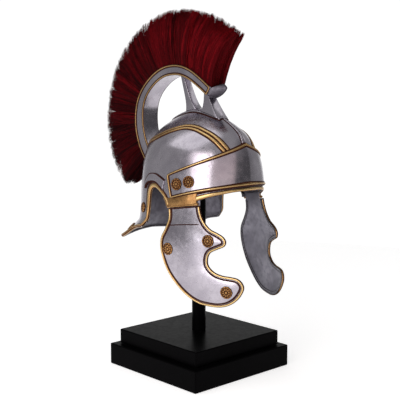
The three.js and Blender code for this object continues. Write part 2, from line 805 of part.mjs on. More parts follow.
function hoopStripGeometry(sign, which) {
  const inner = which * (hoopGroove / 2);
  const outer = which * (hoopGroove / 2 + hoopStrip);
  return bowlStrap(framesOnBowl(hoopPath(sign)), inner, outer, 1.5 * seat, hoopThick);
}

// The small ridge up the middle of the forehead, from the brow guard to the saddle
function keelRidge() {
  const low = Math.asin((browPeak + clearance + browTrimProud) / bowlRise);
  const steps = 7;
  const path = [];
  for (let k = 0; k <= steps; k += 1) {
    const lat = low + (saddleLat() - low) * (k / steps);
    path.push([0, rimHeight + bowlRise * Math.sin(lat)]);
  }
  return bowlStrap(framesOnBowl(path), -keelWidth / 2, keelWidth / 2, clearance, keelThick);
}

// The latitude at which the bowl's middle line passes under the saddle's front edge
function saddleLat() {
  const height = bowlTop(0, -saddleFront - clearance * 2);
  return Math.asin((height - rimHeight) / bowlRise);
}

// The saddle plate on the crown, which carries the struts
const saddleOver = (x, y) => bowlTop(x, y) + clearance + saddleThick;
function saddle() {
  return plate(14, 4, (u, v, side) => {
    const y = -saddleFront + (saddleFront + saddleBack) * u;
    const round = 1 - saddleRound * Math.abs(2 * u - 1) ** 6;
    const x = saddleHalfWidth * round * (2 * v - 1);
    return new THREE.Vector3(x, y, bowlTop(x, y) + clearance + side * saddleThick);
  });
}

// The crest's outer line in side view, and its depth and plume length, from the nape forward
const crestCurve = new THREE.CatmullRomCurve3(crestRows.map((row) => new THREE.Vector3(
  0, crestFront + row.along * crestSpan, crestFoot + row.up * crestRise,
)));
function crestAt(share) {
  const place = crestCurve.getPoint(share);
  const way = crestCurve.getTangent(share);
  const out = new THREE.Vector3(0, way.z, -way.y);
  const spot = share * (crestRows.length - 1);
  const k = Math.min(Math.floor(spot), crestRows.length - 2);
  const between = (column) => THREE.MathUtils.lerp(
    crestRows[k][column], crestRows[k + 1][column], spot - k,
  );
  return { place, way, out, depth: crestDepth * between('depth'), plume: plumeLength * between('plume') };
}

// The height of the crest's underside over y, on its front half
function crestUnder(y) {
  let low = 0.5;
  let high = 1;
  for (let k = 0; k < 30; k += 1) {
    const mid = (low + high) / 2;
    const at = crestAt(mid);
    if (at.place.y - at.out.y * at.depth > y) low = mid;
    else high = mid;
  }
  const at = crestAt(low);
  return at.place.z - at.out.z * at.depth;
}

// A strut that fills the space between the saddle and the crest
function strut(row) {
  return plate(5, 3, (u, v, side) => {
    const end = side === 1 ? 'head' : 'foot';
    const x = saddleHalfWidth * row[`${end}Width`] * (2 * v - 1);
    const y = saddleFront * THREE.MathUtils.lerp(row[`${end}Front`], row[`${end}Back`], u);
    return new THREE.Vector3(x, y, side === 1 ? crestUnder(y) - seat : saddleOver(x, y) + seat);
  });
}

// A bar along the crest: from and to are depths under its outer line, and x runs between two sides
function crestBar(steps, from, to, lowX, highX) {
  return plate(steps, 1, (u, v, side) => {
    const at = crestAt(u);
    const depth = v === 0 ? from(at) : to(at);
    return at.place.clone().addScaledVector(at.out, -depth)
      .setX(side === 1 ? highX : lowX);
  });
}

function crestBox() {
  const half = crestWidth / 2;
  const bar = crestBar(24, () => 0, (at) => at.depth, -half, half);
  return fromManifold(toManifold(bar).subtract(toManifold(bowlBody(clearance))));
}

function crestTrim(sign, outer) {
  const half = crestWidth / 2 + clearance;
  const from = outer ? () => 0 : (at) => at.depth - crestTrimWidth;
  const to = outer ? () => crestTrimWidth : (at) => at.depth;
  const bar = crestBar(18, from, to, sign * half, sign * (half + crestTrimThick));
  return fromManifold(toManifold(bar).subtract(toManifold(bowlBody(clearance))));
}

// The pointed prow at the crest's front end
function prow() {
  const end = crestAt(1);
  return plate(3, 2, (u, v, side) => {
    const depth = end.depth * v * (1 - prowDraw * u);
    const half = THREE.MathUtils.lerp(crestWidth, prowTip, u) / 2;
    const lift = prowLift * u * u;
    const point = end.place.clone().addScaledVector(end.out, -depth)
      .addScaledVector(end.way, clearance + prowReach * u * (1 - prowRake * v));
    return point.setX((side * 2 - 1) * half).setZ(point.z + lift);
  });
}

// One stretch of the plume: locks fanned out of a backing on the crest's outer line. Every other
// column is a lock, which stands prouder and longer than the dip beside it.
function plumeTuft(number) {
  const columns = 8;
  const gap = clearance / plumeLength;
  const start = number / tufts + gap;
  const end = (number + 1) / tufts - gap;
  const rows = [0, backingThick / plumeLength, 0.45, 1];
  return plate(columns, rows.length - 1, (u, v, side) => {
    const at = crestAt(start + (end - start) * u);
    const reach = rows[Math.round(v * (rows.length - 1))];
    const lock = Math.round(u * columns) % 2;
    const long = (at.plume - clearance) * reach * (1 - lockShort * lock * reach);
    const fan = THREE.MathUtils.lerp(crestWidth / 2 - backingInset, plumeSpread / 2, Math.sqrt(reach));
    const half = fan * (1 - plumeTaper * reach ** 6) - lock * lockRipple * Math.min(reach, 0.5);
    const share = start + (end - start) * u;
    const curl = share ** 4 * (0.5 + 4 * (1 - reach)) + (1 - share) ** 4;
    return at.place.clone().addScaledVector(at.out, clearance + long)
      .addScaledVector(at.way, -plumeCurl * curl * reach).setX((side * 2 - 1) * half);
  });
}

// A round boss with eight petals, lying on its back at the origin
function rosetteGeometry(radius) {
  const disc = new THREE.LatheGeometry(
    rosetteRows.map(({ out, up }) => new THREE.Vector2(out * radius, up * rosetteThick)), 2 * petals,
  );
  const place = disc.attributes.position;
  for (let k = 0; k < place.count; k += 1) {
    const r = Math.hypot(place.getX(k), place.getZ(k)) / radius;
    if (Math.abs(r - petalRing) > 0.1) continue;
    const petal = Math.cos(petals * Math.atan2(place.getZ(k), place.getX(k)));
    place.setY(k, place.getY(k) + petal * rosetteThick * petalRise);
  }
  disc.rotateX(Math.PI / 2);
  return disc;
}

// A square block with rounded edges, standing on z = 0
function block(side, height, edge) {
  const half = side / 2 - edge;
  const square = new THREE.Shape([[-half, -half], [half, -half], [half, half], [-half, half]]
    .map(([x, y]) => new THREE.Vector2(x, y)));
  const body = new THREE.ExtrudeGeometry(square, {
    depth: height - 2 * edge, bevelThickness: edge, bevelSize: edge, bevelSegments: 2, curveSegments: 1,
  });
  return body.translate(0, 0, edge);
}

// The post, with the round pad on which the crown rests
function post() {
  const top = crownHeight - wall - clearance;
  const low = standTop + clearance;
  const radius = postDiameter / 2;
  const points = [[0, low], [radius, low], [radius, top - padRise * 2], [padDiameter / 2, top - padRise]];
  for (let k = 1; k <= 4; k += 1) {
    const turn = (k / 4) * 90 * degrees;
    points.push([padDiameter / 2 * Math.cos(turn), top - padRise * (1 - Math.sin(turn))]);
  }
  points[points.length - 1][0] = 0;
  const body = new THREE.LatheGeometry(points.map(([r, z]) => new THREE.Vector2(r, z)), 16);
  return body.rotateX(Math.PI / 2);
}

const finishes = {
  steel: { color: 0xb4b0b8, metalness: 0.9, roughness: 0.32 },
  gold: { color: 0xa87c3a, metalness: 0.85, roughness: 0.4 },
  copper: { color: 0x93602e, metalness: 0.8, roughness: 0.45 },
  black: { color: 0x0d0c0d, metalness: 0, roughness: 0.3 },
  plume: { color: 0x5c0810, metalness: 0, roughness: 0.85 },
};
for (const finish of Object.values(finishes)) finish.material = new THREE.MeshStandardMaterial(finish);

const helmet = new THREE.Group();
function add(name, geometry, finish) {
  const mesh = new THREE.Mesh(geometry, finishes[finish].material);
  mesh.name = name;
  helmet.add(mesh);
  return mesh;
}

function addRosette(name, radius, place) {
  const mesh = add(name, rosetteGeometry(radius), 'copper');
  const seat = place(clearance);
  const normal = place(clearance + 1).sub(seat);
  mesh.position.copy(seat);
  mesh.quaternion.setFromUnitVectors(new THREE.Vector3(0, 0, 1), normal.normalize());
}

add('base_lower', block(standSide, standThick, standEdge), 'black');
add('base_upper', block(stepSide, stepThick - clearance, standEdge), 'black')
  .position.z = standThick + clearance;
add('post', post(), 'black');
add('bowl', bowlGeometry(), 'steel');
add('face_trim', faceTrim(), 'gold');
add('flange_trim', flangeTrim(), 'gold');
add('brow_plate', browPlate(), 'steel');
add('brow_trim', browTrim(), 'gold');
add('keel_ridge', keelRidge(), 'steel');
add('crest_saddle', saddle(), 'steel');
for (const row of strutRows) add(`${row.name}_strut`, strut(row), 'steel');
add('crest_box', crestBox(), 'steel');
add('crest_prow', prow(), 'steel');
for (let number = 0; number < tufts; number += 1) add(`plume_${number + 1}`, plumeTuft(number), 'plume');

for (const [side, sign] of [['right', -1], ['left', 1]]) {
  add(`ear_trim_${side}`, earTrim(sign), 'gold');
  add(`ear_guard_${side}`, earGuard(sign), 'steel');
  add(`hinge_band_${side}`, hingeBand(sign), 'gold');
  add(`hinge_rod_${side}`, rod(...hingeLine(sign), hingeRadius, 8), 'gold');
  add(`hoop_upper_${side}`, hoopStripGeometry(sign, sign), 'gold');
  add(`hoop_lower_${side}`, hoopStripGeometry(sign, -sign), 'gold');
  add(`crest_trim_outer_${side}`, crestTrim(sign, true), 'gold');
  add(`crest_trim_inner_${side}`, crestTrim(sign, false), 'gold');
  add(`cheek_plate_${side}`, cheekPlate(sign), 'steel');
  add(`cheek_trim_${side}`, cheekTrim(sign), 'gold');
  for (const { name, forward, down } of cheekRosettes) {
    const at = cheekSide(forward, down);
    addRosette(`cheek_rosette_${name}_${side}`, cheekRosetteRadius, (lift) => (
      onCheek(at.x, at.y, sign, lift)));
  }
  for (const { name, turn, up } of browRosettes) {
    addRosette(`brow_rosette_${name}_${side}`, rosetteRadius, (lift) => onBowl(
      sign * turn * degrees, rimHeight + bowlRise * up, lift + seat + browThick,
    ));
  }
  for (const { name, along, out } of neckRosettes) {
    const place = sign < 0 ? 2 - along : along;
    addRosette(`neck_rosette_${name}_${side}`, rosetteRadius, (lift) => (
      out > 0 ? onFlange(place, out, lift) : onBowl(
        (flangeTurn + (180 - flangeTurn) * place) * degrees, neckBottom - neckDrop * out, lift,
      )));
  }
}

export default helmet;
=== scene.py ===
"""A Roman legionary's helmet with its bristle plume, on a black lacquered stand.

Lengths in the tables and the surface functions are millimetres, as in the part, and turn to metres
where a piece is made. +Z is up, the face looks along -Y, and the wearer's right is -X.
"""
import math

import bmesh
import bpy
import numpy as np
from mathutils import Matrix, Vector


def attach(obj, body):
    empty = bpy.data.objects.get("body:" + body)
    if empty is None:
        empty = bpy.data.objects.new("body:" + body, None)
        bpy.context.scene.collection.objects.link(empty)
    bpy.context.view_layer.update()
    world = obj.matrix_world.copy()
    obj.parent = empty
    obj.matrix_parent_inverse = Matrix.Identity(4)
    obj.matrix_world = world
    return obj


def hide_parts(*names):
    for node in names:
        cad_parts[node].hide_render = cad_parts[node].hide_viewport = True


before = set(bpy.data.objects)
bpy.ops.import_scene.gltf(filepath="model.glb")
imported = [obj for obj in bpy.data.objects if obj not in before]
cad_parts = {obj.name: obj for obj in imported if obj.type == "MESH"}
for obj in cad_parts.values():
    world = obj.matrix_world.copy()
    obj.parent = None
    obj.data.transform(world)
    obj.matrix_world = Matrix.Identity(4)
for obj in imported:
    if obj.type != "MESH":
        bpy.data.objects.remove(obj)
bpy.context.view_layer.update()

MM = 0.001
DEG = math.pi / 180
RIGHT, LEFT = -1, 1
SIDES = (("right", RIGHT, "cheek_right"), ("left", LEFT, "cheek_left"))


# Sizes, in millimetres

stand_side, stand_thick = 240, 40
step_side, step_thick = 213, 28
post_diameter, pad_diameter, pad_rise, step_round = 26, 42, 24, 2
rim_height = 330
bowl_half_breadth, bowl_front, bowl_back, bowl_middle, bowl_rise = 97.5, 126.5, 121, -2, 154
wall, clearance, seat = 2.5, 0.4, 0.6
face_rise, ear_rise = 14.5, 14.5
edge_trim_width, edge_trim_proud, edge_trim_inside, edge_flank = 7.5, 2, 1, 2.6
neck_drop, neck_spread = 50, 4
flange_reach, flange_drop, flange_turn, flange_sweep = 37, 37, 115, 1.15
brow_thick, brow_turn, brow_peak, brow_rear_top = 3.6, 78, 97, 42
brow_low, brow_rear_low, brow_slant, brow_arch = 24, 0.6, 0.075, 1.6
brow_trim_width, brow_trim_proud, crease_rise, crease_reach = 5.5, 1.6, 1.6, 18
hoop_strip, hoop_thick = 7, 1.6
keel_width, keel_thick = 5, 1.6
rosette_radius, cheek_rosette_radius, rosette_thick, brow_boss_share = 9.5, 11, 2.6, 1.12
cheek_thick, cheek_span, cheek_drop, cheek_rear = 2.6, 159, 176, 7.6
cheek_trim_width, cheek_trim_proud, cheek_middle, cheek_swell = 6, 1.6, 0.65, 2.6
hinge_rear, hinge_span, hinge_fall, hinge_lean = 24, 60, 15, 8.5
hinge_radius, hinge_proud = 2.4, 1.2
saddle_half_width, saddle_front, saddle_back = 15, 66, 62
saddle_thick, saddle_round, strut_flare, strut_flare_side = 3, 0.25, 6.5, 1.2
crest_width, crest_span, crest_rise, crest_depth = 36, 214, 181, 20
crest_front, crest_foot, prow_tip = -50, 386, 3
plume_length, plume_spread, plume_curl, plume_reach = 104, 44, 12, 0.978

stand_top = stand_thick + step_thick
crown_height = rim_height + bowl_rise
neck_bottom = rim_height - neck_drop
helmet_middle = (0, bowl_middle, rim_height)


def table(columns, *rows):
    """A table with named columns."""
    return dict(zip(columns.split(), np.array(rows, float).T))


bowl_rows = table(
    "lat breadth front back square_front square_back",
    (0, 1, 1, 1, 2.3, 2.05), (11, 1.015, 1.006, 1.02, 2.15, 1.95),
    (23, 1.05, 1.05, 1.075, 2.02, 1.88), (36, 1.08, 1.12, 1.14, 1.9, 1.8),
    (48, 1.0, 1.21, 1.17, 1.8, 1.76), (59, 0.83, 1.2, 1.13, 1.76, 1.76),
    (68, 0.73, 1.17, 1.07, 1.76, 1.76), (77, 0.68, 1.05, 0.99, 1.8, 1.8),
    (90, 0.66, 1, 0.95, 2, 2),
)
face_edge_rows = table(
    "along up", (1.2, 1.02), (1.0, 1), (0.92, 0.82), (0.78, 0.42), (0.62, -0.15),
)
ear_edge_rows = table(
    "back up", (-0.172, -1.05), (-0.15, -0.45), (-0.08, 0.26), (0.015, 0.84), (0.105, 1.14),
    (0.185, 1.0), (0.235, 0.38), (0.255, -0.6), (0.27, -1.7), (0.29, -3.2),
)
flange_rows = table(
    "turn out drop", (0, 0.2, 0.22), (0.08, 0.23, 0.26), (0.23, 0.38, 0.4), (0.38, 0.82, 0.84),
    (0.47, 1, 1), (0.56, 0.9, 0.98), (0.75, 0.62, 0.86), (1, 0.5, 0.78),
)
hoop_rows = table(
    "turn up", (19.5, 0.58), (25, 0.667), (33, 0.737), (48, 0.796), (73, 0.808), (99, 0.764),
    (122, 0.69), (147, 0.6), (166, 0.49),
)
cheek_rows = table(
    "forward down", (0.104, 0.02), (0.115, 0.14), (0.07, 0.245), (0.01, 0.345), (0, 0.45),
    (0.037, 0.575), (0.115, 0.71), (0.225, 0.825), (0.346, 0.918), (0.476, 0.98), (0.6, 1),
    (0.734, 1), (0.847, 0.966), (0.941, 0.894), (1, 0.796), (0.99, 0.73), (0.94, 0.686),
    (0.861, 0.672), (0.778, 0.665), (0.694, 0.638), (0.633, 0.582), (0.625, 0.515),
    (0.652, 0.456), (0.731, 0.415), (0.8, 0.382), (0.818, 0.333), (0.79, 0.286), (0.725, 0.25),
    (0.641, 0.215), (0.572, 0.152), (0.524, 0.07), (0.497, -0.03),
)
cheek_bow_rows = table(
    "down rear middle front", (0, 1.055, 0.843, 0.453), (0.35, 1.074, 0.893, 0.535),
    (0.7, 1.069, 0.898, 0.55), (1.05, 1.039, 0.858, 0.5),
)
crest_rows = table(
    "along up depth plume", (0.87, 0, 1.25, 0.84), (0.952, 0.155, 1.3, 0.96),
    (1, 0.36, 1.3, 1.01), (0.984, 0.58, 1.2, 0.98), (0.908, 0.746, 1.06, 1),
    (0.78, 0.882, 1, 1), (0.64, 0.968, 0.98, 1), (0.503, 1, 0.98, 1), (0.37, 0.992, 0.96, 1.01),
    (0.24, 0.942, 0.94, 1.03), (0.113, 0.857, 0.92, 1.06), (0, 0.768, 0.9, 1.08),
)
strut_rows = {
    "front": dict(foot=(-0.87, -0.364, 0.9), head=(-0.52, -0.34, 0.6)),
    "mid": dict(foot=(0.06, 0.3, 0.6), head=(0.5, 0.64, 0.5)),
}
prow_rows = table(
    "down forward up", (0, 12.8, 6.5), (0.25, 19.5, 3.5), (0.45, 23, -2), (0.72, 13, -12), (1, -2, -19),
)
ear_guard_rows = table(
    "inner_y inner_up outer_y outer_up", (46.5, 11.5, 46.5, 16.5), (43, 17.5, 45.2, 27),
    (36, 22.6, 34, 37.5), (26, 25.6, 24, 40.8), (16, 26.7, 13, 41.4), (6, 25, 3, 39.2),
    (-3, 19, -7, 35), (-10, 13.5, -15, 31),
)
cheek_line_rows = table(
    "y z", (-90, 288.9), (-88.4, 288.8), (-59.5, 286.5), (-28.9, 282.7), (-27, 282.4),
)
cheek_rosettes = {"rear": (0.125, 0.455), "front": (0.622, 0.336), "chin": (0.818, 0.832)}
brow_rosettes = {"rear": (65, 0.172), "front": (52.5, 0.204)}
neck_rosettes = {"wall": (0.14, -0.5), "flange": (0.42, 0.5)}

# Pale gold on crowns is wear and a painted highlight; bare steel is the beads' dark inner side
bare_steel, rubbed_and_highlight_gold = "#5f5c62", "#d8b981"


# Surfaces: each takes arrays of two places and gives an array of points

def read_rows(rows, by, column, value):
    """A column of a table at any place between its rows, on a smooth curve through them."""
    x, y = rows[by], rows[column]
    if x[0] > x[-1]:
        x, y = x[::-1], y[::-1]
    at = np.clip(value, x[0], x[-1])
    k = np.clip(np.searchsorted(x, at, side="left") - 1, 0, len(x) - 2)
    low = np.maximum(np.arange(len(x)) - 1, 0)
    high = np.minimum(np.arange(len(x)) + 1, len(x) - 1)
    slope = (y[high] - y[low]) / (x[high] - x[low])
    step = x[k + 1] - x[k]
    t = (at - x[k]) / step
    fall, rise = (1 - t) ** 2, t * t
    return (y[k] * fall * (1 + 2 * t) + y[k + 1] * rise * (3 - 2 * t)
            + slope[k] * step * t * fall + slope[k + 1] * step * rise * (t - 1))


def points(x, y, z):
    return np.stack(np.broadcast_arrays(x, y, z), axis=-1).astype(float)


def unit(vectors):
    return vectors / np.maximum(np.linalg.norm(vectors, axis=-1, keepdims=True), 1e-9)


def bowl(turn, height):
    """The bowl's outer surface. Turn is in radians from the face towards +X."""
    up = np.clip((height - rim_height) / bowl_rise, 0, 1)
    lat = np.arcsin(up)
    draw = np.maximum(np.cos(lat), 1e-6)
    ahead = np.cos(turn) > 0
    row = {c: read_rows(bowl_rows, "lat", c, lat / DEG) for c in bowl_rows}
    spread = neck_spread * np.maximum((rim_height - height) / neck_drop, 0) ** 2
    breadth = bowl_half_breadth * draw * row["breadth"] + spread
    length = np.where(ahead, bowl_front * row["front"], bowl_back * row["back"]) * draw + spread
    square = np.where(ahead, row["square_front"], row["square_back"])
    reach = (np.abs(np.cos(turn)) / length) ** square + (np.abs(np.sin(turn)) / breadth) ** square
    radius = np.where(up >= 1, 0, reach ** (-1 / square))
    return points(radius * np.sin(turn), bowl_middle - radius * np.cos(turn), height)


def side_turn(y, z):
    """The turn at which the bowl's side stands at y and z in side view."""
    low = np.zeros(np.broadcast(y, z).shape)
    high = np.full_like(low, math.pi)
    for _ in range(34):
        mid = (low + high) / 2
        under = bowl(mid, z)[..., 1] < y
        low, high = np.where(under, mid, low), np.where(under, high, mid)
    return low


def bowl_side(sign):
    return lambda y, z: bowl(sign * side_turn(y, z), z)


def bowl_top(x, y):
    """The bowl's height over x and y."""
    turn = np.arctan2(x, bowl_middle - y)
    radius = np.hypot(x, y - bowl_middle)
    low = np.zeros(np.broadcast(x, y).shape)
    high = np.full_like(low, math.pi / 2)
    for _ in range(34):
        mid = (low + high) / 2
        edge = bowl(turn, rim_height + bowl_rise * np.sin(mid))
        inside = np.hypot(edge[..., 0], edge[..., 1] - bowl_middle) > radius
        low, high = np.where(inside, mid, low), np.where(inside, high, mid)
    return rim_height + bowl_rise * np.sin(low)


def lifted(surface, a, b, lift, step_a, step_b):
    """Points of a surface moved out along its normal, away from the helmet's upright middle line."""
    along = surface(a + step_a, b) - surface(a - step_a, b)
    across = surface(a, b + step_b) - surface(a, b - step_b)
    normal = unit(np.cross(along, across))
    here = surface(a, b)
    away = here - np.array([0, bowl_middle, 0])
    away[..., 2] = np.where(here[..., 2] > crown_height - wall * 4, 1e4, 0)
    normal *= np.where(np.sum(normal * away, axis=-1, keepdims=True) < 0, -1, 1)
    return here + normal * np.asarray(lift)[..., None]


def on_bowl(turn, height, lift):
    level = np.minimum(height, crown_height - wall / 4)
    return lifted(bowl, turn, level, lift, 0.02, 0.5) + points(0, 0, height - level)


def on_side(sign, y, z, lift):
    return lifted(bowl_side(sign), y, z, lift, 0.5, 0.5)


def flange(along, out):
    """The neck flange: along runs 0 to 1 to 2 from end to end, out from 0 at the wall to 1."""
    from_end = np.where(along > 1, 2 - along, along)
    root = bowl((flange_turn + (180 - flange_turn) * along) * DEG, neck_bottom)
    reach = flange_reach * read_rows(flange_rows, "turn", "out", from_end)
    drop = flange_drop * read_rows(flange_rows, "turn", "drop", from_end)
    away = root - np.array([0, bowl_middle, 0])
    away[..., 2] = 0
    place = root + unit(away) * (reach * np.maximum(out, 0) ** flange_sweep)[..., None]
    place[..., 2] = neck_bottom - drop * out
    return place


def on_flange(along, out, lift):
    out = np.asarray(out, float)
    held = np.maximum(out, 0.05)
    moved = lifted(flange, along, held, lift, 0.01, 0.04)
    return moved + flange(along, out) - flange(along, held)


def cheek(sign):
    def surface(y, z):
        ahead = (bowl_middle - y) / bowl_front / cheek_middle
        below = (rim_height - z) / cheek_drop
        rear, middle, front = (
            read_rows(cheek_bow_rows, "down", c, below) for c in ("rear", "middle", "front")
        )
        bow = rear + ahead * (middle - rear) + ahead * (ahead - 1) * (front - 2 * middle + rear) / 2
        return points(sign * bowl_half_breadth * bow, y, z)
    return surface


def on_cheek(sign, y, z, lift):
    return lifted(cheek(sign), y, z, lift, 0.5, 0.5)


def crest(share):
    """The crest's outer line at a share of its way from the nape to the front end."""
    spot = np.clip(share, 0, 1) * (len(crest_rows["up"]) - 1)
    number = dict(crest_rows, number=np.arange(len(crest_rows["up"]), dtype=float))

    def read(column, at):
        return read_rows(number, "number", column, at)

    def line(at):
        return points(0, crest_front + read("along", at) * crest_span,
                      crest_foot + read("up", at) * crest_rise)

    way = unit(line(spot + 0.02) - line(spot - 0.02))
    out = points(0, way[..., 2], -way[..., 1])
    return (line(spot), way, out, crest_depth * read("depth", spot),
            plume_length * read("plume", spot))


# Lines in side view

def smooth_line(corners, steps):
    """An even-numbered smooth curve through side-view points."""
    rows = {"k": np.arange(len(corners), dtype=float), "a": corners[:, 0], "b": corners[:, 1]}
    at = np.linspace(0, len(corners) - 1, steps + 1)
    return np.stack([read_rows(rows, "k", "a", at), read_rows(rows, "k", "b", at)], axis=1)


def offset_line(line, distance):
    """A side-view line moved to the right of its direction."""
    before = line[np.maximum(np.arange(len(line)) - 1, 0)]
    after = line[np.minimum(np.arange(len(line)) + 1, len(line) - 1)]
    way = unit(after - before)
    return line + np.stack([way[:, 1], -way[:, 0]], axis=1) * distance


def even_line(line, spacing):
    """A line's points set at an even spacing."""
    reach = np.concatenate([[0], np.cumsum(np.linalg.norm(np.diff(line, axis=0), axis=1))])
    at = np.linspace(0, reach[-1], max(int(reach[-1] / spacing), 2) + 1)
    return np.stack([np.interp(at, reach, line[:, k]) for k in range(line.shape[1])], axis=1)


face_edge = even_line(smooth_line(np.stack([
    bowl_middle - face_edge_rows["along"] * bowl_front,
    rim_height + face_edge_rows["up"] * face_rise], axis=1), 60), 2)
ear_edge = even_line(smooth_line(np.stack([
    bowl_middle + ear_edge_rows["back"] * bowl_back,
    rim_height + ear_edge_rows["up"] * ear_rise], axis=1), 120), 1.6)
face_end = face_edge[-1, 0]
cheek_top = rim_height - hinge_fall + hinge_lean - hinge_radius - clearance


def cheek_side(forward, down):
    return np.stack([bowl_middle - cheek_rear - forward * cheek_span,
                     cheek_top - down * cheek_drop], axis=-1)


cheek_edge = even_line(smooth_line(cheek_side(cheek_rows["forward"], cheek_rows["down"]), 300), 1.5)


def hinge_height(y):
    return rim_height - hinge_fall - (y + hinge_rear) * (hinge_lean / hinge_span)


# Piece making

def srgb(code):
    """A colour from its sRGB hex code, in linear light."""
    parts = [int(code[k:k + 2], 16) / 255 for k in (1, 3, 5)]
    return (*[p / 12.92 if p <= 0.04045 else ((p + 0.055) / 1.055) ** 2.4 for p in parts], 1)


def add_piece(name, mesh, materials, nodes=(), body="helmet"):
    """Puts a mesh in the scene as a piece that rides on a body and stands for the given CAD nodes."""
    for material in materials:
        mesh.materials.append(material)
    piece = bpy.data.objects.new(name, mesh)
    bpy.context.scene.collection.objects.link(piece)
    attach(piece, body)
    if nodes:
        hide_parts(*nodes)
    return piece


def finish_piece(bm, name, materials, nodes=(), body="helmet", smooth=True, facets=False):
    """Turns a bmesh into a piece, shaded smooth, or with its large faces kept flat."""
    mesh = bpy.data.meshes.new(name)
    bm.to_mesh(mesh)
    bm.free()
    mesh.polygons.foreach_set("use_smooth", [smooth] * len(mesh.polygons))
    piece = add_piece(name, mesh, materials, nodes, body)
    if facets:
        piece.modifiers.new("facets", "WEIGHTED_NORMAL").keep_sharp = False


def grid(bm, across, up, place, wash=None):
    """Adds a grid whose vertices stand at place(u, v), with u and v from 0 to 1."""
    if wash is not None:
        layer = bm.verts.layers.float.get("wash") or bm.verts.layers.float.new("wash")
    made = bmesh.ops.create_grid(bm, x_segments=across, y_segments=up, size=0.5)["verts"]
    flat = np.array([vert.co[:2] for vert in made]) + 0.5
    spots = place(flat[:, 0], flat[:, 1]) * MM
    for vert, spot in zip(made, spots):
        vert.co = spot
    if wash is not None:
        for vert, value in zip(made, wash(flat[:, 0], flat[:, 1])):
            vert[layer] = value
    return made


def turn_out(bm, centre):
    """Turns every face of an open sheet away from a point in millimetres."""
    bm.normal_update()
    middle = Vector(centre) * MM
    inward = [f for f in bm.faces if f.normal.dot(f.calc_center_median() - middle) < 0]
    if len(inward) * 2 > len(bm.faces):
        bmesh.ops.reverse_faces(bm, faces=bm.faces[:])


def thicken(bm, thick, inner_material=0):
    """Gives an open sheet a thickness on its inner side, in millimetres."""
    bm.normal_update()
    bm.verts.index_update()
    number = bm.verts.layers.int.new("number")
    shift = [vert.normal.copy() for vert in bm.verts]
    for k, vert in enumerate(bm.verts):
        vert[number] = k
    made = bmesh.ops.extrude_face_region(bm, geom=list(bm.faces), use_keep_orig=True)["geom"]
    fresh = {item for item in made if isinstance(item, bmesh.types.BMVert)}
    for vert in fresh:
        vert.co -= shift[vert[number]] * (thick * MM)
    for face in bm.faces:
        if all(vert in fresh for vert in face.verts):
            face.material_index = inner_material
    bmesh.ops.recalc_face_normals(bm, faces=bm.faces[:])


def sheet(name, across, up, place, thick, materials, nodes=(), wash=None, smooth=True):
    """A piece made of one sheet over the bowl. A second material is its inner side's."""
    bm = bmesh.new()
    grid(bm, across, up, place, wash)
    turn_out(bm, helmet_middle)
    thicken(bm, thick, len(materials) - 1)
    finish_piece(bm, name, materials, nodes, smooth=smooth)


def close_ends(bm):
    """Caps every open end of a sweep and turns its faces out."""
    bmesh.ops.remove_doubles(bm, verts=bm.verts[:], dist=0.002 * MM)
    open_edges = [edge for edge in bm.edges if edge.is_boundary]
    if open_edges:
        bmesh.ops.holes_fill(bm, edges=open_edges, sides=0)
    bmesh.ops.recalc_face_normals(bm, faces=bm.faces[:])


def sweep(bm, steps, profile, place, loop=False):
    """A closed bar along a path: place(k, across, lift) is the point of the profile's row at the
    path's step k. A profile row is (across, lift, wash), and it closes on itself."""
    ring = np.array([*profile, profile[0]], float)

    def row(v):
        return ring[np.rint(v * (len(ring) - 1)).astype(int)]

    def spot(u, v):
        k = np.rint(u * steps).astype(int)
        return place(k % steps if loop else k, row(v)[:, 0], row(v)[:, 1])

    grid(bm, steps, len(ring) - 1, spot, lambda u, v: row(v)[:, 2])
    close_ends(bm)


def bar(name, steps, profile, place, material, nodes=(), body="helmet", loop=False):
    """A piece made of one sweep."""
    bm = bmesh.new()
    sweep(bm, steps, profile, place, loop)
    finish_piece(bm, name, [material], nodes, body)


def rolled_edge(gold_width, flank, plate_thick, proud, inside, brown, bare_from):
    """The section of a rolled edge: a brown line on the plate, a gold bead over the edge that is
    brown between two turns in degrees, brown wash and painted shade where the bead turns away, with
    a painted highlight of paler gold on its crown, and bare steel from a third turn."""
    half = plate_thick / 2
    rows = [(gold_width + flank, 0.1, 1), (gold_width + flank * 0.9, 0.3, 1),
            (gold_width + 0.2, 0.4, 1)]
    for turn in range(15, 346, 15):
        reach = proud if turn < 180 else inside
        painted = turn == 15 or brown[0] <= turn <= brown[1]
        # Wash 1 is brown: wash, and painted shade between the brown turns; -0.3 on the crown is a
        # painted highlight; -1 is bare steel
        wash = -1 if turn >= bare_from else 1 if painted else -0.3 if 75 <= turn <= 105 else 0
        rows.append((gold_width / 2 * (1 + math.cos(turn * DEG)),
                     (half + reach) * math.sin(turn * DEG) - half, wash))
    return [*rows, (gold_width + 0.5, -plate_thick - 0.2, -1),
            (gold_width + flank, -plate_thick - 0.1, -1)]


def raised_strip(low, high, proud, flank_low, flank_high, sunk):
    """The section of a gold strip from low to high on a plate, with a brown line along each side and a
    painted highlight of paler gold along its crown.
    """
    middle, half = (low + high) / 2, (high - low) / 2
    rows = [(low - flank_low, -sunk, 1), (low - flank_low, 0.25, 1), (low - 0.15, 0.4, 1)]
    for k, wash in enumerate((1, 0.25, 0, -0.15, -0.3, -0.15, 0, 0.25, 1)):
        turn = math.pi * k / 8
        rows.append((middle - half * math.cos(turn), 0.3 + proud * math.sin(turn) ** 0.6, wash))
    return [*rows, (high + 0.15, 0.4, 1), (high + flank_high, 0.25, 1), (high + flank_high, -sunk, 1)]


def line_section(width, lift, sunk):
    """The section of a painted or engraved line."""
    return [(-width / 2, -sunk, 1), (-width / 2, lift, 1), (width / 2, lift, 1), (width / 2, -sunk, 1)]


def smoothed(values, passes, loop=False):
    """Rows of a path evened out, with its ends held unless it closes on itself."""
    for _ in range(passes):
        around = (np.roll(values, 1, axis=0) + 2 * values + np.roll(values, -1, axis=0)) / 4
        if not loop:
            around[[0, -1]] = values[[0, -1]]
        values = around
    return values


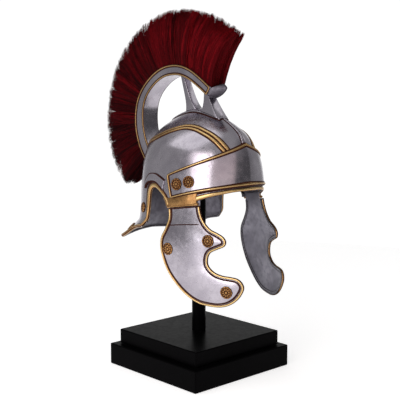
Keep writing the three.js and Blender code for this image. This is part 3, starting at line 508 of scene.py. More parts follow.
def loop_sides(loop):
    """The sideways way at each point of a closed path in a plane, to the right of its direction."""
    way = unit(np.roll(loop, -1, axis=0) - np.roll(loop, 1, axis=0))
    return np.stack([way[:, 1], -way[:, 0]], axis=1)


# Materials

def new_material(name):
    material = bpy.data.materials.new(name)
    material.use_nodes = True
    material.node_tree.nodes.clear()
    return material


def add_node(owner, kind, settings=None, links=None):
    """Adds a node: settings are its properties and input values, links the sources of its inputs."""
    node = owner.node_tree.nodes.new(kind)
    values = dict(settings or {})
    for key in [key for key in values if isinstance(key, str) and hasattr(node, key)]:
        setattr(node, key, values.pop(key))
    sockets = {socket.name: socket for socket in reversed(node.inputs) if socket.enabled}
    sockets.update(enumerate(node.inputs))
    for key, value in values.items():
        sockets[key].default_value = value
    for key, source in (links or {}).items():
        if isinstance(source, bpy.types.Node):
            source = next(socket for socket in source.outputs if socket.enabled)
        owner.node_tree.links.new(source, sockets[key])
    return node


def metal(name, bright, deep, stain, gloss, dents, washed, spots=0.0):
    """An antiqued metal: bright where it is worn, dark where the wash has stayed and, with a wash
    attribute, pale gold below zero as wear and a painted highlight on crowns. Gloss is its roughness
    where it is worn bright and where it is dull, dents the strength of its lumps and its grain, and
    spots the spacing of its casting pits in millimetres."""
    material = new_material(name)
    where = add_node(material, "ShaderNodeTexCoord").outputs["Object"]
    cloud, mottle, pits = (
        add_node(material, "ShaderNodeTexNoise", {
            "Scale": 1 / (size * MM), "Detail": detail, "Roughness": rough}, {"Vector": where})
        for size, detail, rough in ((38, 4.0, 0.5), (9, 2.0, 0.6), (1.8, 4.0, 0.6))
    )
    clouded, blotted, pitted, rough = (
        add_node(material, "ShaderNodeMapRange", {
            "From Min": low, "From Max": high, "To Min": at_low, "To Max": at_high}, {"Value": source})
        for source, low, high, at_low, at_high in (
            (cloud, 0.36, 0.64, 0.0, 1.0), (mottle, 0.3, 0.5, 0.5, 0.0),
            (pits, 0.22, 0.32, 0.45, 0.0), (mottle, 0.35, 0.62, gloss[1], gloss[0]))
    )
    layers = [(clouded, bright), (blotted, deep), (pitted, stain)]
    tied = {}
    if washed:
        wash = add_node(material, "ShaderNodeAttribute", {"attribute_name": "wash"}).outputs["Fac"]
        worn = add_node(material, "ShaderNodeMath", {"operation": "MULTIPLY_ADD", 1: 0.7, 2: -0.33},
                        {0: mottle})
        spread = add_node(material, "ShaderNodeMath", {"operation": "ADD"}, {0: wash, 1: worn})
        # Below zero the wash gives pale gold, wear and a painted highlight on crowns, then bare steel;
        # above zero, brown wash
        rubbed_and_highlit, bare, brown = (
            add_node(material, "ShaderNodeMapRange", {"From Min": low, "From Max": high},
                     {"Value": source})
            for source, low, high in ((wash, 0.0, -0.25), (wash, -0.35, -0.65), (spread, 0.25, 0.6))
        )
        layers += [(rubbed_and_highlit, rubbed_and_highlight_gold), (bare, bare_steel), (brown, stain)]
        tied["Metallic"] = add_node(material, "ShaderNodeMath", {"operation": "SUBTRACT", 0: 1.0},
                                    {1: brown})
        rough = add_node(material, "ShaderNodeMath", {
            "operation": "MULTIPLY_ADD", 1: 0.25, "use_clamp": True}, {0: brown, 2: rough})
    tone = None
    for factor, colour in layers:
        under = {"A": tone} if tone else {}
        tone = add_node(material, "ShaderNodeMix", {
            "data_type": "RGBA", "A": srgb(deep), "B": srgb(colour)}, {"Factor": factor, **under})
    under = {}
    if spots:
        cells = add_node(material, "ShaderNodeTexVoronoi", {"Scale": 1 / (spots * MM)},
                         {"Vector": where})
        specks = add_node(material, "ShaderNodeMapRange", {
            "From Min": 0.0, "From Max": 0.22, "To Min": 1.0, "To Max": 0.0},
            {"Value": cells.outputs["Distance"]})
        under["Normal"] = add_node(material, "ShaderNodeBump", {
            "Strength": 0.25, "Distance": 0.4 * MM, "invert": True}, {"Height": specks})
    lumps = add_node(material, "ShaderNodeBump", {"Strength": dents[0], "Distance": 0.8 * MM},
                     {"Height": mottle, **under})
    grain = add_node(material, "ShaderNodeBump", {"Strength": dents[1], "Distance": 0.2 * MM},
                     {"Height": pits, "Normal": lumps})
    shader = add_node(material, "ShaderNodeBsdfPrincipled", {
        "Metallic": 1.0, "Specular IOR Level": 0.12},
        {"Base Color": tone, "Roughness": rough, "Normal": grain, **tied})
    add_node(material, "ShaderNodeOutputMaterial", links={"Surface": shader})
    return material


# Tinned steel, cast and rubbed bright: a cool lavender grey with soft, slightly lumpy reflections
steel = metal("tinned_steel", "#bfb9c2", "#a8a2ac", "#4f4042", (0.2, 0.29), (0.1, 0.02), False, 16)
# The same steel as cast, on the inside and on the prow: dull and pitted, its darker colour painted
# shade
raw_shaded_steel = metal("raw_cast_steel_shaded", "#7e7b84", "#65626b", "#38312f", (0.45, 0.6), (0.4, 0.3), False)
# The inner side of the cheek guards: the same casting, a paler copy of the inside steel as painted
# light
lit_inner_steel = metal("lit_inner_cast_steel", "#a19ea9", "#85828d", "#4a444b", (0.42, 0.55),
                      (0.3, 0.15), False)
# Gilded brass edging: warm gold, paler gold on its crowns as wear and a painted highlight, brown wash
# left in its corners
gold = metal("antiqued_brass", "#bb9160", "#8a633b", "#35150c", (0.22, 0.38), (0.2, 0.12), True)
# Coppery gilt of the bosses, with more wash left on it
copper = metal("gilt_copper", "#b3824f", "#744925", "#2c1109", (0.34, 0.5), (0.3, 0.2), True)
# The brown wash itself, where it lies in a line
wash_brown = metal("brown_wash", "#6a3324", "#4a2014", "#34130c", (0.5, 0.6), (0.2, 0.2), True)


def lacquer():
    """Black lacquered wood: near black with a soft gloss that is a little uneven."""
    material = new_material("black_lacquer")
    where = add_node(material, "ShaderNodeTexCoord").outputs["Object"]
    dust, ripple = (
        add_node(material, "ShaderNodeTexNoise", {
            "Scale": 1 / (size * MM), "Detail": 4.0, "Roughness": 0.6}, {"Vector": where})
        for size in (60, 8)
    )
    tone = add_node(material, "ShaderNodeMix", {
        "data_type": "RGBA", "A": srgb("#030303"), "B": srgb("#070608")}, {"Factor": dust})
    rough = add_node(material, "ShaderNodeMapRange", {
        "From Min": 0.3, "From Max": 0.7, "To Min": 0.28, "To Max": 0.38}, {"Value": ripple})
    bump = add_node(material, "ShaderNodeBump", {"Strength": 0.04, "Distance": 0.2 * MM},
                    {"Height": ripple})
    shader = add_node(material, "ShaderNodeBsdfPrincipled", {"Specular IOR Level": 0.014},
                      {"Base Color": tone, "Roughness": rough, "Normal": bump})
    add_node(material, "ShaderNodeOutputMaterial", links={"Surface": shader})
    return material


def bristle():
    """Dyed horsehair: deep red, each strand its own shade, darkened nearly to black towards its root as
    painted shade.
    """
    material = new_material("dyed_horsehair")
    shade, along = (
        add_node(material, "ShaderNodeAttribute", {"attribute_name": name}).outputs["Fac"]
        for name in ("shade", "along")
    )
    dim = add_node(material, "ShaderNodeMapRange", {"From Max": 0.55}, {"Value": shade})
    lit = add_node(material, "ShaderNodeMapRange", {"From Min": 0.55, "From Max": 1.0},
                   {"Value": shade})
    # Painted shade: the strands darken towards their roots
    root = add_node(material, "ShaderNodeMapRange", {
        "From Max": 0.5, "To Min": 0.4, "To Max": 1.0}, {"Value": along})
    tone = add_node(material, "ShaderNodeMix", {
        "data_type": "RGBA", "A": srgb("#1d0204"), "B": srgb("#62070f")}, {"Factor": dim})
    tone = add_node(material, "ShaderNodeMix", {"data_type": "RGBA", "B": srgb("#980f19")},
                    {"Factor": lit, "A": tone})
    tone = add_node(material, "ShaderNodeMix", {
        "data_type": "RGBA", "blend_type": "MULTIPLY", "Factor": 1.0}, {"A": tone, "B": root})
    shader = add_node(material, "ShaderNodeBsdfPrincipled", {
        "Roughness": 0.6, "Specular IOR Level": 0.04}, {"Base Color": tone})
    add_node(material, "ShaderNodeOutputMaterial", links={"Surface": shader})
    return material


black = lacquer()
hair = bristle()


# The stand

def stand_block(name, side, low, high):
    bm = bmesh.new()
    bmesh.ops.create_cube(bm, size=1)
    bmesh.ops.scale(bm, verts=bm.verts, vec=Vector((side, side, high - low)) * MM)
    bmesh.ops.translate(bm, verts=bm.verts, vec=Vector((0, 0, (low + high) / 2)) * MM)
    bmesh.ops.bevel(bm, geom=bm.edges[:], offset=step_round * MM, segments=5, profile=0.5,
                    affect="EDGES", material=-1)
    finish_piece(bm, name + "_lacquered", [black], [name], facets=True)


def make_post():
    top = crown_height - wall - clearance
    low = stand_top + clearance
    radius, pad = post_diameter / 2, pad_diameter / 2
    corners = [(0, low), (radius, low), (radius, top - pad_rise * 2), (pad, top - pad_rise)]
    for k in range(1, 9):
        turn = k / 8 * math.pi / 2
        corners.append((pad * math.cos(turn), top - pad_rise * (1 - math.sin(turn))))
    corners[-1] = (0, top)
    bm = bmesh.new()
    line = [bm.verts.new((r * MM, 0, z * MM)) for r, z in corners]
    edges = [bm.edges.new(pair) for pair in zip(line, line[1:])]
    bmesh.ops.spin(bm, geom=line + edges, cent=(0, 0, 0), axis=(0, 0, 1), angle=2 * math.pi,
                   steps=48, use_merge=True)
    bmesh.ops.remove_doubles(bm, verts=bm.verts[:], dist=0.01 * MM)
    bmesh.ops.recalc_face_normals(bm, faces=bm.faces[:])
    finish_piece(bm, "post_lacquered", [black], ["post"], facets=True)


stand_block("base_lower", stand_side, 0, stand_thick)
stand_block("base_upper", step_side, stand_thick + clearance, stand_top)
make_post()


# The bowl, with its openings, and the neck flange

def edge_height(turn, height):
    """Where the metal of the bowl ends, under its trims, at a turn and height: its side-view cut."""
    y = bowl(turn, height)[..., 1]
    face, ear = (offset_line(line, -edge_trim_width * 0.45) for line in (face_edge, ear_edge))
    front = np.interp(y, face[:, 0], face[:, 1])
    over_ear = np.interp(y, ear[:, 0], ear[:, 1], right=-1e3)
    band = rim_height - hinge_fall / 3
    return np.where(y < face_end, front, np.where(y < ear[0, 0], band, over_ear))


def make_bowl():
    columns, rows, arc_scale = 264, 112, 128
    bm = bmesh.new()

    def height_at(v):
        arc = -neck_drop + (arc_scale * math.pi / 2 + neck_drop) * v
        lat = np.clip(arc / arc_scale, 0, math.pi / 2)
        return np.where(arc < 0, rim_height + arc, rim_height + bowl_rise * np.sin(lat))

    made = grid(bm, columns, rows, lambda u, v: bowl(u * 2 * math.pi, height_at(v)))
    flat = np.array([vert.co for vert in made]) / MM
    turn = np.arctan2(flat[:, 0], bowl_middle - flat[:, 1])
    cut = flat[:, 2] < edge_height(np.abs(turn), flat[:, 2]) - 0.01
    bmesh.ops.delete(bm, geom=[vert for vert, gone in zip(made, cut) if gone], context="VERTS")
    start = math.ceil(flange_turn / 360 * columns)
    flange_columns = columns - 2 * start

    def along_at(u):
        here = (start + u * flange_columns) / columns * 360
        return (here - flange_turn) / (180 - flange_turn)

    grid(bm, flange_columns, 22, lambda u, v: flange(along_at(u), v * 0.93))
    bmesh.ops.remove_doubles(bm, verts=bm.verts[:], dist=0.05 * MM)
    bmesh.ops.recalc_face_normals(bm, faces=bm.faces[:])
    turn_out(bm, helmet_middle)
    # The inner side takes the darker steel, whose colour is painted shade
    thicken(bm, wall, 1)
    finish_piece(bm, "bowl_metal", [steel, raw_shaded_steel], ["bowl"])


def brow_border(turn):
    """The height of the brow guard's lower edge at a turn in radians."""
    share = np.abs(turn) / (brow_turn * DEG)
    for _ in range(4):
        share = np.abs(turn) / (brow_turn * DEG * (1 - brow_slant * share))
    rise = (brow_low - brow_rear_low) * (1 - np.minimum(share, 1) ** brow_arch)
    return rim_height + brow_rear_low + rise


def make_face_bead():
    reach = float(side_turn(np.array(face_end), np.array(float(rim_height))))
    turns = np.linspace(-reach, reach, 151)
    heights = np.full_like(turns, rim_height)
    for _ in range(5):
        heights = np.interp(bowl(turns, heights)[:, 1], face_edge[:, 0], face_edge[:, 1])
    gold_width = edge_trim_width - 1.5
    stretch = (brow_border(turns) - heights + 0.6) / (gold_width + edge_flank)
    section = rolled_edge(gold_width, edge_flank, wall, edge_trim_proud, edge_trim_inside,
                          (165, 210), 225)
    bar("face_bead", len(turns) - 1, section, lambda k, across, lift: on_bowl(
        turns[k], heights[k] + across * stretch[k], lift), gold, ["face_trim"])


def edge_frames():
    """The helmet's lower edge from the right ear round the neck flange to the left ear: its points,
    the ways into the metal and its outward normals."""
    parts = []
    floor = np.where(ear_edge[:, 0] > 0, neck_bottom + 5, hinge_height(ear_edge[:, 0]) + hinge_radius)
    line = ear_edge[ear_edge[:, 1] > floor]
    into = line + (offset_line(line, -1) - line) * 4
    for sign in (RIGHT, LEFT):
        here = on_side(sign, *line.T, np.zeros(len(line)))
        rows = (here, on_side(sign, *into.T, np.zeros(len(line))) - here,
                on_side(sign, *line.T, np.ones(len(line))) - here)
        parts.append([row[::-sign] for row in rows])
    along = np.linspace(1.985, 0.015, 150)
    lip = flange(along, np.ones(150))
    parts.insert(1, [lip, flange(along, np.full(150, 0.8)) - lip,
                     on_flange(along, np.ones(150), np.ones(150)) - lip])
    place, inward, normal = (np.concatenate([part[k] for part in parts]) for k in range(3))
    path = even_line(np.concatenate([place, unit(inward), unit(normal)], axis=1), 1.9)
    place = smoothed(path[:, :3], 8)
    way = unit(np.gradient(place, axis=0))
    normal = smoothed(path[:, 6:], 10)
    normal = unit(normal - way * np.sum(normal * way, axis=1, keepdims=True))
    inward = np.cross(way, normal)
    side = np.sign(np.sum(inward * path[:, 3:6]))
    return place, inward * side, normal


def make_edge_bead():
    place, inward, normal = edge_frames()
    section = rolled_edge(edge_trim_width - 2.1, edge_flank, wall, edge_trim_proud + 0.5,
                          edge_trim_inside + 1.2, (165, 180), 225)
    over_ear = np.clip((place[:, 1] + 8) / 16, 0, 1) * np.clip((place[:, 2] - 290) / 25, 0, 1)
    widen = 1 + 0.7 * over_ear
    bar("neck_and_ear_bead", len(place) - 1, section, lambda k, across, lift: (
        place[k] + inward[k] * (across * widen[k])[:, None] + normal[k] * lift[:, None]),
        gold, ["ear_trim_right", "flange_trim", "ear_trim_left"])


make_bowl()
make_face_bead()
make_edge_bead()


def make_hinge_band(side, sign):
    """The gold panel from the ear's bead to the face's bead, which carries the cheek guard."""
    front = face_end - 1
    arch = ear_edge[:np.argmax(ear_edge[:, 1])]

    def spot(u, v):
        rear_low = np.interp(rim_height - hinge_fall, arch[:, 1], arch[:, 0]) + 2
        y = front + (rear_low - front) * u
        turn = side_turn(y, np.full_like(y, float(rim_height)))
        top = brow_border(turn) + 0.4
        low = hinge_height(y) + hinge_radius * 0.4
        z = low + (top - low) * v
        y = front + (np.interp(z, arch[:, 1], arch[:, 0]) + 2 - front) * u
        tuck = np.clip(0.45 + u / 0.4, 0, 1)
        return on_side(sign, y, z, edge_trim_proud * tuck * (0.75 + 0.25 * np.sin(math.pi * v)))

    # The panel's inner side takes the darker steel, whose colour is painted shade
    sheet(f"hinge_panel_{side}", 60, 20, spot, wall + edge_trim_proud, [gold, raw_shaded_steel],
          [f"hinge_band_{side}"], wash=lambda u, v: 0 * u)


def make_hinge_lining(side, sign):
    """The plain inner side of the hinge, which closes the slit over the cheek guard."""
    def spot(u, v):
        y = -hinge_rear - 10 - (hinge_span - 8) * u
        z = hinge_height(y) - hinge_radius - 3 + 14 * v
        return on_side(sign, y, z, np.full_like(y, -wall - 1.3))

    # The lining takes the paler copy of the inside steel, painted light
    sheet(f"hinge_lining_{side}", 30, 8, spot, 0.8, [lit_inner_steel], smooth=False)


def make_hinge_rod(side, sign):
    ends = on_side(sign, np.array([-hinge_rear, -hinge_rear - hinge_span], float),
                   np.array([rim_height - hinge_fall, rim_height - hinge_fall + hinge_lean]),
                   np.array([hinge_proud, hinge_proud])) * MM
    rear, front = Vector(ends[0]), Vector(ends[1])
    way = front - rear
    bm = bmesh.new()
    bm.verts.layers.float.new("wash")
    bmesh.ops.create_cone(bm, cap_ends=True, segments=24, radius1=hinge_radius * MM,
                          radius2=hinge_radius * MM, depth=way.length)
    bmesh.ops.transform(bm, verts=bm.verts, matrix=Matrix.Translation((rear + front) / 2)
                        @ way.to_track_quat("Z", "Y").to_matrix().to_4x4())
    rims = [edge for edge in bm.edges if edge.calc_face_angle(0) > 1]
    bmesh.ops.bevel(bm, geom=rims, offset=0.5 * MM, segments=3, profile=0.5, affect="EDGES",
                    material=-1)
    finish_piece(bm, f"hinge_pin_{side}", [gold], [f"hinge_rod_{side}"])


# The brow guard

def brow(u, v, lift):
    """A place on the brow guard: u from -1 to 1 across, v from 0 to 1 up."""
    span = np.abs(u)
    turn = u * brow_turn * (1 - brow_slant * (1 - v) * span) * DEG
    top = brow_peak + (brow_rear_top - brow_peak) * span
    low = brow_rear_low + (brow_low - brow_rear_low) * (1 - span ** brow_arch)
    from_crease = np.clip(1 - bowl_half_breadth * np.abs(turn) / crease_reach, 0, 1)
    return on_bowl(turn, rim_height + low + (top - low) * v, lift + crease_rise * from_crease ** 2)


def make_brow():
    size = np.array([bowl_half_breadth * brow_turn * DEG,
                     (brow_rear_top - brow_rear_low + brow_peak - brow_low) / 2])
    tuck_u, tuck_v = brow_trim_width / 2 / size

    def spot(u, v):
        return brow((2 * u - 1) * (1 - tuck_u), tuck_v + v * (1 - 2 * tuck_v),
                    np.full_like(u, seat + brow_thick))

    sheet("brow_guard", 180, 44, spot, brow_thick, [steel], ["brow_plate"])

    corners = np.array([[-1, 0], [1, 0], [1, 1], [-1, 1], [-1, 0]]) * size
    loop = smoothed(even_line(corners, 2.0)[:-1], 8, loop=True)
    inward = -loop_sides(loop)
    section = raised_strip(0.9, 3.9, brow_trim_proud, 0.9, brow_trim_width - 3.4, 0.6)
    section = [(-1.4, -brow_thick - 0.2, 1), (-1.4, -brow_thick + 0.6, 1), (-0.3, 0.1, 1), *section[2:]]

    def border(k, across, lift):
        u, v = ((loop[k] + inward[k] * across[:, None]) / size).T
        return brow(u, v, seat + brow_thick + lift)

    bar("brow_bead", len(loop), section, border, gold, ["brow_trim"], loop=True)


make_brow()


# The hoops, the ridge and the lines of wash on the bowl

def strap(name, turn, height, rows, material, nodes=()):
    """A bar on the bowl along a path of turns and heights."""
    place = bowl(turn, height)
    after = np.minimum(np.arange(len(turn)) + 1, len(turn) - 1)
    before = np.maximum(np.arange(len(turn)) - 1, 0)
    normal = on_bowl(turn, height, np.ones(len(turn))) - place
    sideways = unit(np.cross(normal, unit(place[after] - place[before])))

    def spot(k, across, lift):
        aim = place[k] + sideways[k] * across[:, None]
        return on_bowl(np.arctan2(aim[:, 0], bowl_middle - aim[:, 1]), aim[:, 2], lift)

    bar(name, len(turn) - 1, rows, spot, material, nodes)


def make_hoops(side, sign):
    """The double gold hoop over one side, from just ahead of its table's first row."""
    front_turn, front_up = 16.3, 0.505
    first, last = hoop_rows["turn"][[0, -1]]
    turn = np.concatenate([[front_turn], np.linspace(first, last, 110)])
    up = np.concatenate([[front_up], read_rows(hoop_rows, "turn", "up", turn[1:])])
    middle, half = hoop_strip / 2 + 0.1, hoop_strip / 2 - 0.8
    for which, name in ((1, "upper"), (-1, "lower")):
        shift = which * sign * middle
        flanks = (middle - half, 2.2) if shift > 0 else (2.2, middle - half)
        section = raised_strip(shift - half, shift + half, hoop_thick, *flanks, 0.6)
        strap(f"hoop_bead_{name}_{side}", sign * turn * DEG, rim_height + bowl_rise * up, section,
              gold, [f"hoop_{name}_{side}"])


def make_ridge():
    low = math.asin((brow_peak + clearance) / bowl_rise)
    top = float(bowl_top(np.array(0.0), np.array(-saddle_front + 1.0)))
    lats = np.linspace(low - 0.02, math.asin((top - rim_height) / bowl_rise), 26)
    heights = rim_height + bowl_rise * np.sin(lats)
    half = keel_width / 2
    turns = [math.pi * k / 12 for k in range(13)]
    section = [(half * math.cos(turn), -0.4 + (keel_thick + 0.4) * math.sin(turn) ** 0.6, 0)
               for turn in turns]
    strap("forehead_ridge", np.zeros(26), heights, section, steel, ["keel_ridge"])
    for side, sign, _ in SIDES:
        section = [(across + sign * (half + 0.8), lift, wash)
                   for across, lift, wash in line_section(2.2, 0.5, 0.4)]
        strap(f"ridge_line_{side}", np.zeros(26), heights, section, wash_brown)


make_ridge()


# The saddle and the struts

def make_saddle():
    def spot(u, v):
        along, beside = np.abs(2 * u - 1), np.abs(2 * v - 1)
        x = saddle_half_width * (1 - saddle_round * along ** 6) * (2 * v - 1)
        y = -saddle_front + (saddle_front + saddle_back) * u
        crown = np.sqrt(1 - np.maximum(beside ** 6, along ** 24))
        return points(x, y, bowl_top(x, y) + clearance + saddle_thick * (0.4 + 0.6 * crown))

    sheet("saddle_plate", 90, 28, spot, saddle_thick * 0.35, [steel], ["crest_saddle"])

    corners = np.array([[-1, -saddle_front], [1, -saddle_front], [1, saddle_back], [-1, saddle_back],
                        [-1, -saddle_front]], float)
    loop = even_line(corners * (saddle_half_width, 1), 2.0)[:-1]
    middle = (saddle_back - saddle_front) / 2
    ends = np.abs(loop[:, 1] - middle) / (saddle_front + saddle_back) * 2
    loop[:, 0] *= 1 - saddle_round * ends ** 6
    loop = smoothed(loop, 2, loop=True)
    out = loop_sides(loop)

    def rim(k, across, lift):
        x, y = (loop[k] + out[k] * (across + 0.5)[:, None]).T
        return points(x, y, bowl_top(x, y) + lift)

    bar("saddle_line", len(loop), line_section(2.2, saddle_thick * 0.35, 0.4), rim, wash_brown,
        loop=True)


def crest_under(y):
    """The height of the crest's underside over y, on its front half."""
    low, high = np.full_like(y, 0.5), np.ones_like(y)
    for _ in range(30):
        mid = (low + high) / 2
        place, _, out, depth, _ = crest(mid)
        behind = place[..., 1] - out[..., 1] * depth > y
        low, high = np.where(behind, mid, low), np.where(behind, high, mid)
    place, _, out, depth, _ = crest(low)
    return place[..., 2] - out[..., 2] * depth


def squared_ring(u, square):
    """A rounded square of half side 1, once round for u from 0 to 1."""
    turn = u * 2 * math.pi
    reach = (np.abs(np.cos(turn)) ** square + np.abs(np.sin(turn)) ** square) ** (-1 / square)
    return np.cos(turn) * reach, np.sin(turn) * reach


def make_strut(name, foot, head):
    """A strut from the saddle to the crest, which flares out where it grows from the saddle."""
    def spot(u, v):
        across, along = squared_ring(u, 9)
        front, back, width = (foot[k] + (head[k] - foot[k]) * v for k in range(3))
        flare = (1 - v) ** 5
        x = (saddle_half_width * width + strut_flare_side * flare) * across
        y = saddle_front * (front + back + (back - front) * along) / 2 + strut_flare * flare * along
        low = bowl_top(x, y) + clearance + saddle_thick * 0.8
        return points(x, y, low + (crest_under(y) - seat / 2 - low) * v)

    bm = bmesh.new()
    grid(bm, 96, 26, spot)
    close_ends(bm)
    finish_piece(bm, f"{name}_strut_metal", [steel], [f"{name}_strut"], facets=True)


make_saddle()
for strut_name, strut_ends in strut_rows.items():
    make_strut(strut_name, **strut_ends)


# The crest

def make_crest():
    """The crest box, a bar along the crest whose foot is eased back to the bowl."""
    half, steps = crest_width / 2, 150
    place, _, out, depth, _ = crest(np.linspace(0, 1, steps + 1))
    section = [(-half, -0.04, 0), (-half, -0.96, 0), (-half + 1, -1, 0), (half - 1, -1, 0),
               (half, -0.96, 0), (half, -0.04, 0), (half - 1, 0, 0), (-half + 1, 0, 0)]
    bm = bmesh.new()
    sweep(bm, steps, section, lambda k, across, lift: (
        place[k] + out[k] * (lift * depth[k])[:, None] + points(across, 0, 0)))
    for vert in bm.verts:
        if vert.co.z < (crest_foot + 60) * MM:
            spot = np.array(vert.co) / MM
            edge = bowl(np.arctan2(spot[0], bowl_middle - spot[1]), spot[2])
            vert.co.y += max(edge[1] + clearance - spot[1], 0) * MM
    finish_piece(bm, "crest_metal", [steel], ["crest_box"], facets=True)


def make_crest_border(side, sign):
    """The gold border of the crest's side: up its outer line, over its front end, back inside."""
    place, _, out, depth, _ = crest(np.linspace(0.002, 0.998, 160))
    outer, inner = place[:, 1:], (place - out * depth[:, None])[:, 1:]
    nape = bowl(np.full(160, math.pi), np.minimum(inner[:, 1], crown_height - 1))[:, 1]
    inner = inner[np.argmax(inner[:, 0] > nape + 1):]
    path = smoothed(even_line(np.concatenate([outer, inner[::-1]]), 1.8), 3)
    way = unit(np.gradient(path, axis=0))
    inward = np.stack([-way[:, 1], way[:, 0]], axis=1)

    def spot(k, across, lift):
        y, z = (path[k] + inward[k] * across[:, None]).T
        return points(sign * (crest_width / 2 + 0.1 + lift), y, z)

    bar(f"crest_border_{side}", len(path) - 1, raised_strip(0.6, 3.0, 1.1, 0.6, 2.1, 0.4), spot,
        gold, [f"crest_trim_outer_{side}", f"crest_trim_inner_{side}"])


def make_prow():
    """The prow ahead of the crest: from its end to a nearly sharp, curved stem."""
    place, way, out, depth, _ = crest(np.array(1.0))

    def spot(u, v):
        across, down = squared_ring(u, 9)
        down = (down + 1) / 2
        root = place - out * (depth * down)[:, None] + way * clearance
        stem = place + points(0, -read_rows(prow_rows, "down", "forward", down),
                              read_rows(prow_rows, "down", "up", down))
        along = root + (stem - root) * v[:, None]
        along[:, 0] = across * (crest_width + (prow_tip - crest_width) * v ** 1.3) / 2
        return along

    bm = bmesh.new()
    grid(bm, 96, 20, spot)
    close_ends(bm)
    # The prow takes the darker steel, whose colour is painted shade on its front faces
    finish_piece(bm, "prow_metal", [raw_shaded_steel], ["crest_prow"], facets=True)


make_crest()
make_prow()


# The cheek guards and the crescents over the ears

def inside(outline, spots):
    """Which side-view spots lie inside a closed outline."""
    count = np.zeros(len(spots), int)
    ahead = np.roll(outline, -1, axis=0)
    for (y0, z0), (y1, z1) in zip(outline, ahead):
        between = (z0 > spots[:, 1]) != (z1 > spots[:, 1])
        with np.errstate(divide="ignore", invalid="ignore"):
            crossing = y0 + (spots[:, 1] - z0) / (z1 - z0) * (y1 - y0)
        count += between & (spots[:, 0] < crossing)
    return count % 2 == 1


def cheek_hem(y):
    """The height of a cheek guard's upper edge, under its hinge."""
    return hinge_height(y) - hinge_radius - clearance


def cheek_dome(y, z):
    """How far a cheek guard swells out between its edges."""
    spots = np.stack(np.broadcast_arrays(y, z), axis=-1).reshape(-1, 2)
    reach = np.min(np.linalg.norm(spots[:, None] - cheek_edge[None, ::2], axis=2), axis=1)
    below = np.clip((cheek_hem(spots[:, 0]) - spots[:, 1]) / 60, 0, 1)
    return cheek_swell * (1 - np.exp(-np.maximum(reach - 5, 0) / 10)) * below ** 2 * (3 - 2 * below)


def on_domed_cheek(sign, y, z, lift):
    return on_cheek(sign, y, z, cheek_dome(y, z) + lift)


def side_line(name, on_surface, sign, line, width, lift, body="helmet"):
    """A line of wash along a side-view line on a side surface."""
    normal = offset_line(line, 1) - line
    bar(name, len(line) - 1, line_section(width, lift, 0.2), lambda k, across, height: on_surface(
        sign, line[k, 0] + normal[k, 0] * across, line[k, 1] + normal[k, 1] * across, height),
        wash_brown, body=body)


def make_cheek(side, sign, body):
    line = cheek_edge[cheek_edge[:, 1] < cheek_hem(cheek_edge[:, 0])]
    outline = offset_line(line, cheek_trim_width * 0.3)
    outline[[0, -1], 1] += cheek_thick
    low, high = cheek_edge.min(axis=0), cheek_edge.max(axis=0)
    bm = bmesh.new()

    def spot(u, v):
        y = low[0] + (high[0] - low[0]) * u
        return cheek(sign)(y, low[1] + (cheek_hem(y) - low[1]) * v)

    made = grid(bm, 90, 100, spot)
    spots = np.array([vert.co[1:] for vert in made]) / MM
    keep = inside(outline, spots - (0, 0.01))
    domed = on_domed_cheek(sign, *spots.T, np.zeros(len(spots))) * MM
    for vert, place in zip(made, domed):
        vert.co = place
    bmesh.ops.delete(bm, geom=[vert for vert, kept in zip(made, keep) if not kept], context="VERTS")
    bmesh.ops.recalc_face_normals(bm, faces=bm.faces[:])
    turn_out(bm, (0, bowl_middle, rim_height - cheek_drop / 2))
    thicken(bm, cheek_thick, 1)
    # The cheek's inner side takes the paler copy of the inside steel, painted light
    finish_piece(bm, f"cheek_metal_{side}", [steel, lit_inner_steel], [f"cheek_plate_{side}"], body)

    away = offset_line(line, 1) - line
    section = rolled_edge(cheek_trim_width - 1.2, 3.3, cheek_thick, cheek_trim_proud, 0.8,
                          (135, 180), 235)
    bar(f"cheek_bead_{side}", len(line) - 1, section, lambda k, across, lift: on_domed_cheek(
        sign, *(line[k] + away[k] * (across[:, None] + 0.6)).T, lift),
        gold, [f"cheek_trim_{side}"], body)

    y = np.linspace(line[0, 0], line[-1, 0], 60)
    side_line(f"cheek_top_line_{side}", on_cheek, sign, np.stack([y, cheek_hem(y) - 1.3], axis=1),
              2.4, 0.3, body)
    y = np.linspace(-27, -90, 60)
    engraved = np.interp(y, cheek_line_rows["y"], cheek_line_rows["z"])
    side_line(f"cheek_neck_line_{side}", on_domed_cheek, sign, np.stack([y, engraved], axis=1),
              1.8, 0.15, body)


def make_ear_guard(side, sign):
    """The raised crescent over an ear, with a line of wash round it."""
    rows = dict(ear_guard_rows, k=np.arange(8.0))
    at = np.linspace(0, 7, 71)
    inner_y, inner_up, outer_y, outer_up = (
        read_rows(rows, "k", column, at) for column in ("inner_y", "inner_up", "outer_y", "outer_up"))

    def spot(u, v):
        k = np.rint(u * 70).astype(int)
        y = inner_y[k] + (outer_y[k] - inner_y[k]) * v
        z = rim_height + inner_up[k] + (outer_up[k] - inner_up[k]) * v
        ends = np.sqrt(np.clip(np.sin(math.pi * (0.03 + 0.94 * u)), 0, 1))
        swell = 1.3 + 1.5 * np.sin(math.pi * (0.2 + 0.7 * v)) * ends
        return on_side(sign, y, z, swell)

    sheet(f"ear_crescent_{side}", 70, 18, spot, 1.6, [steel], [f"ear_guard_{side}"])
    outer = np.stack([outer_y, rim_height + outer_up], axis=1)
    side_line(f"ear_line_{side}", on_side, sign, outer, 2.2, 1.9)
    inner = np.stack([inner_y, rim_height + inner_up + 0.8], axis=1)
    side_line(f"ear_inner_line_{side}", on_side, sign, inner, 2.6, 2.7)


# The rosettes

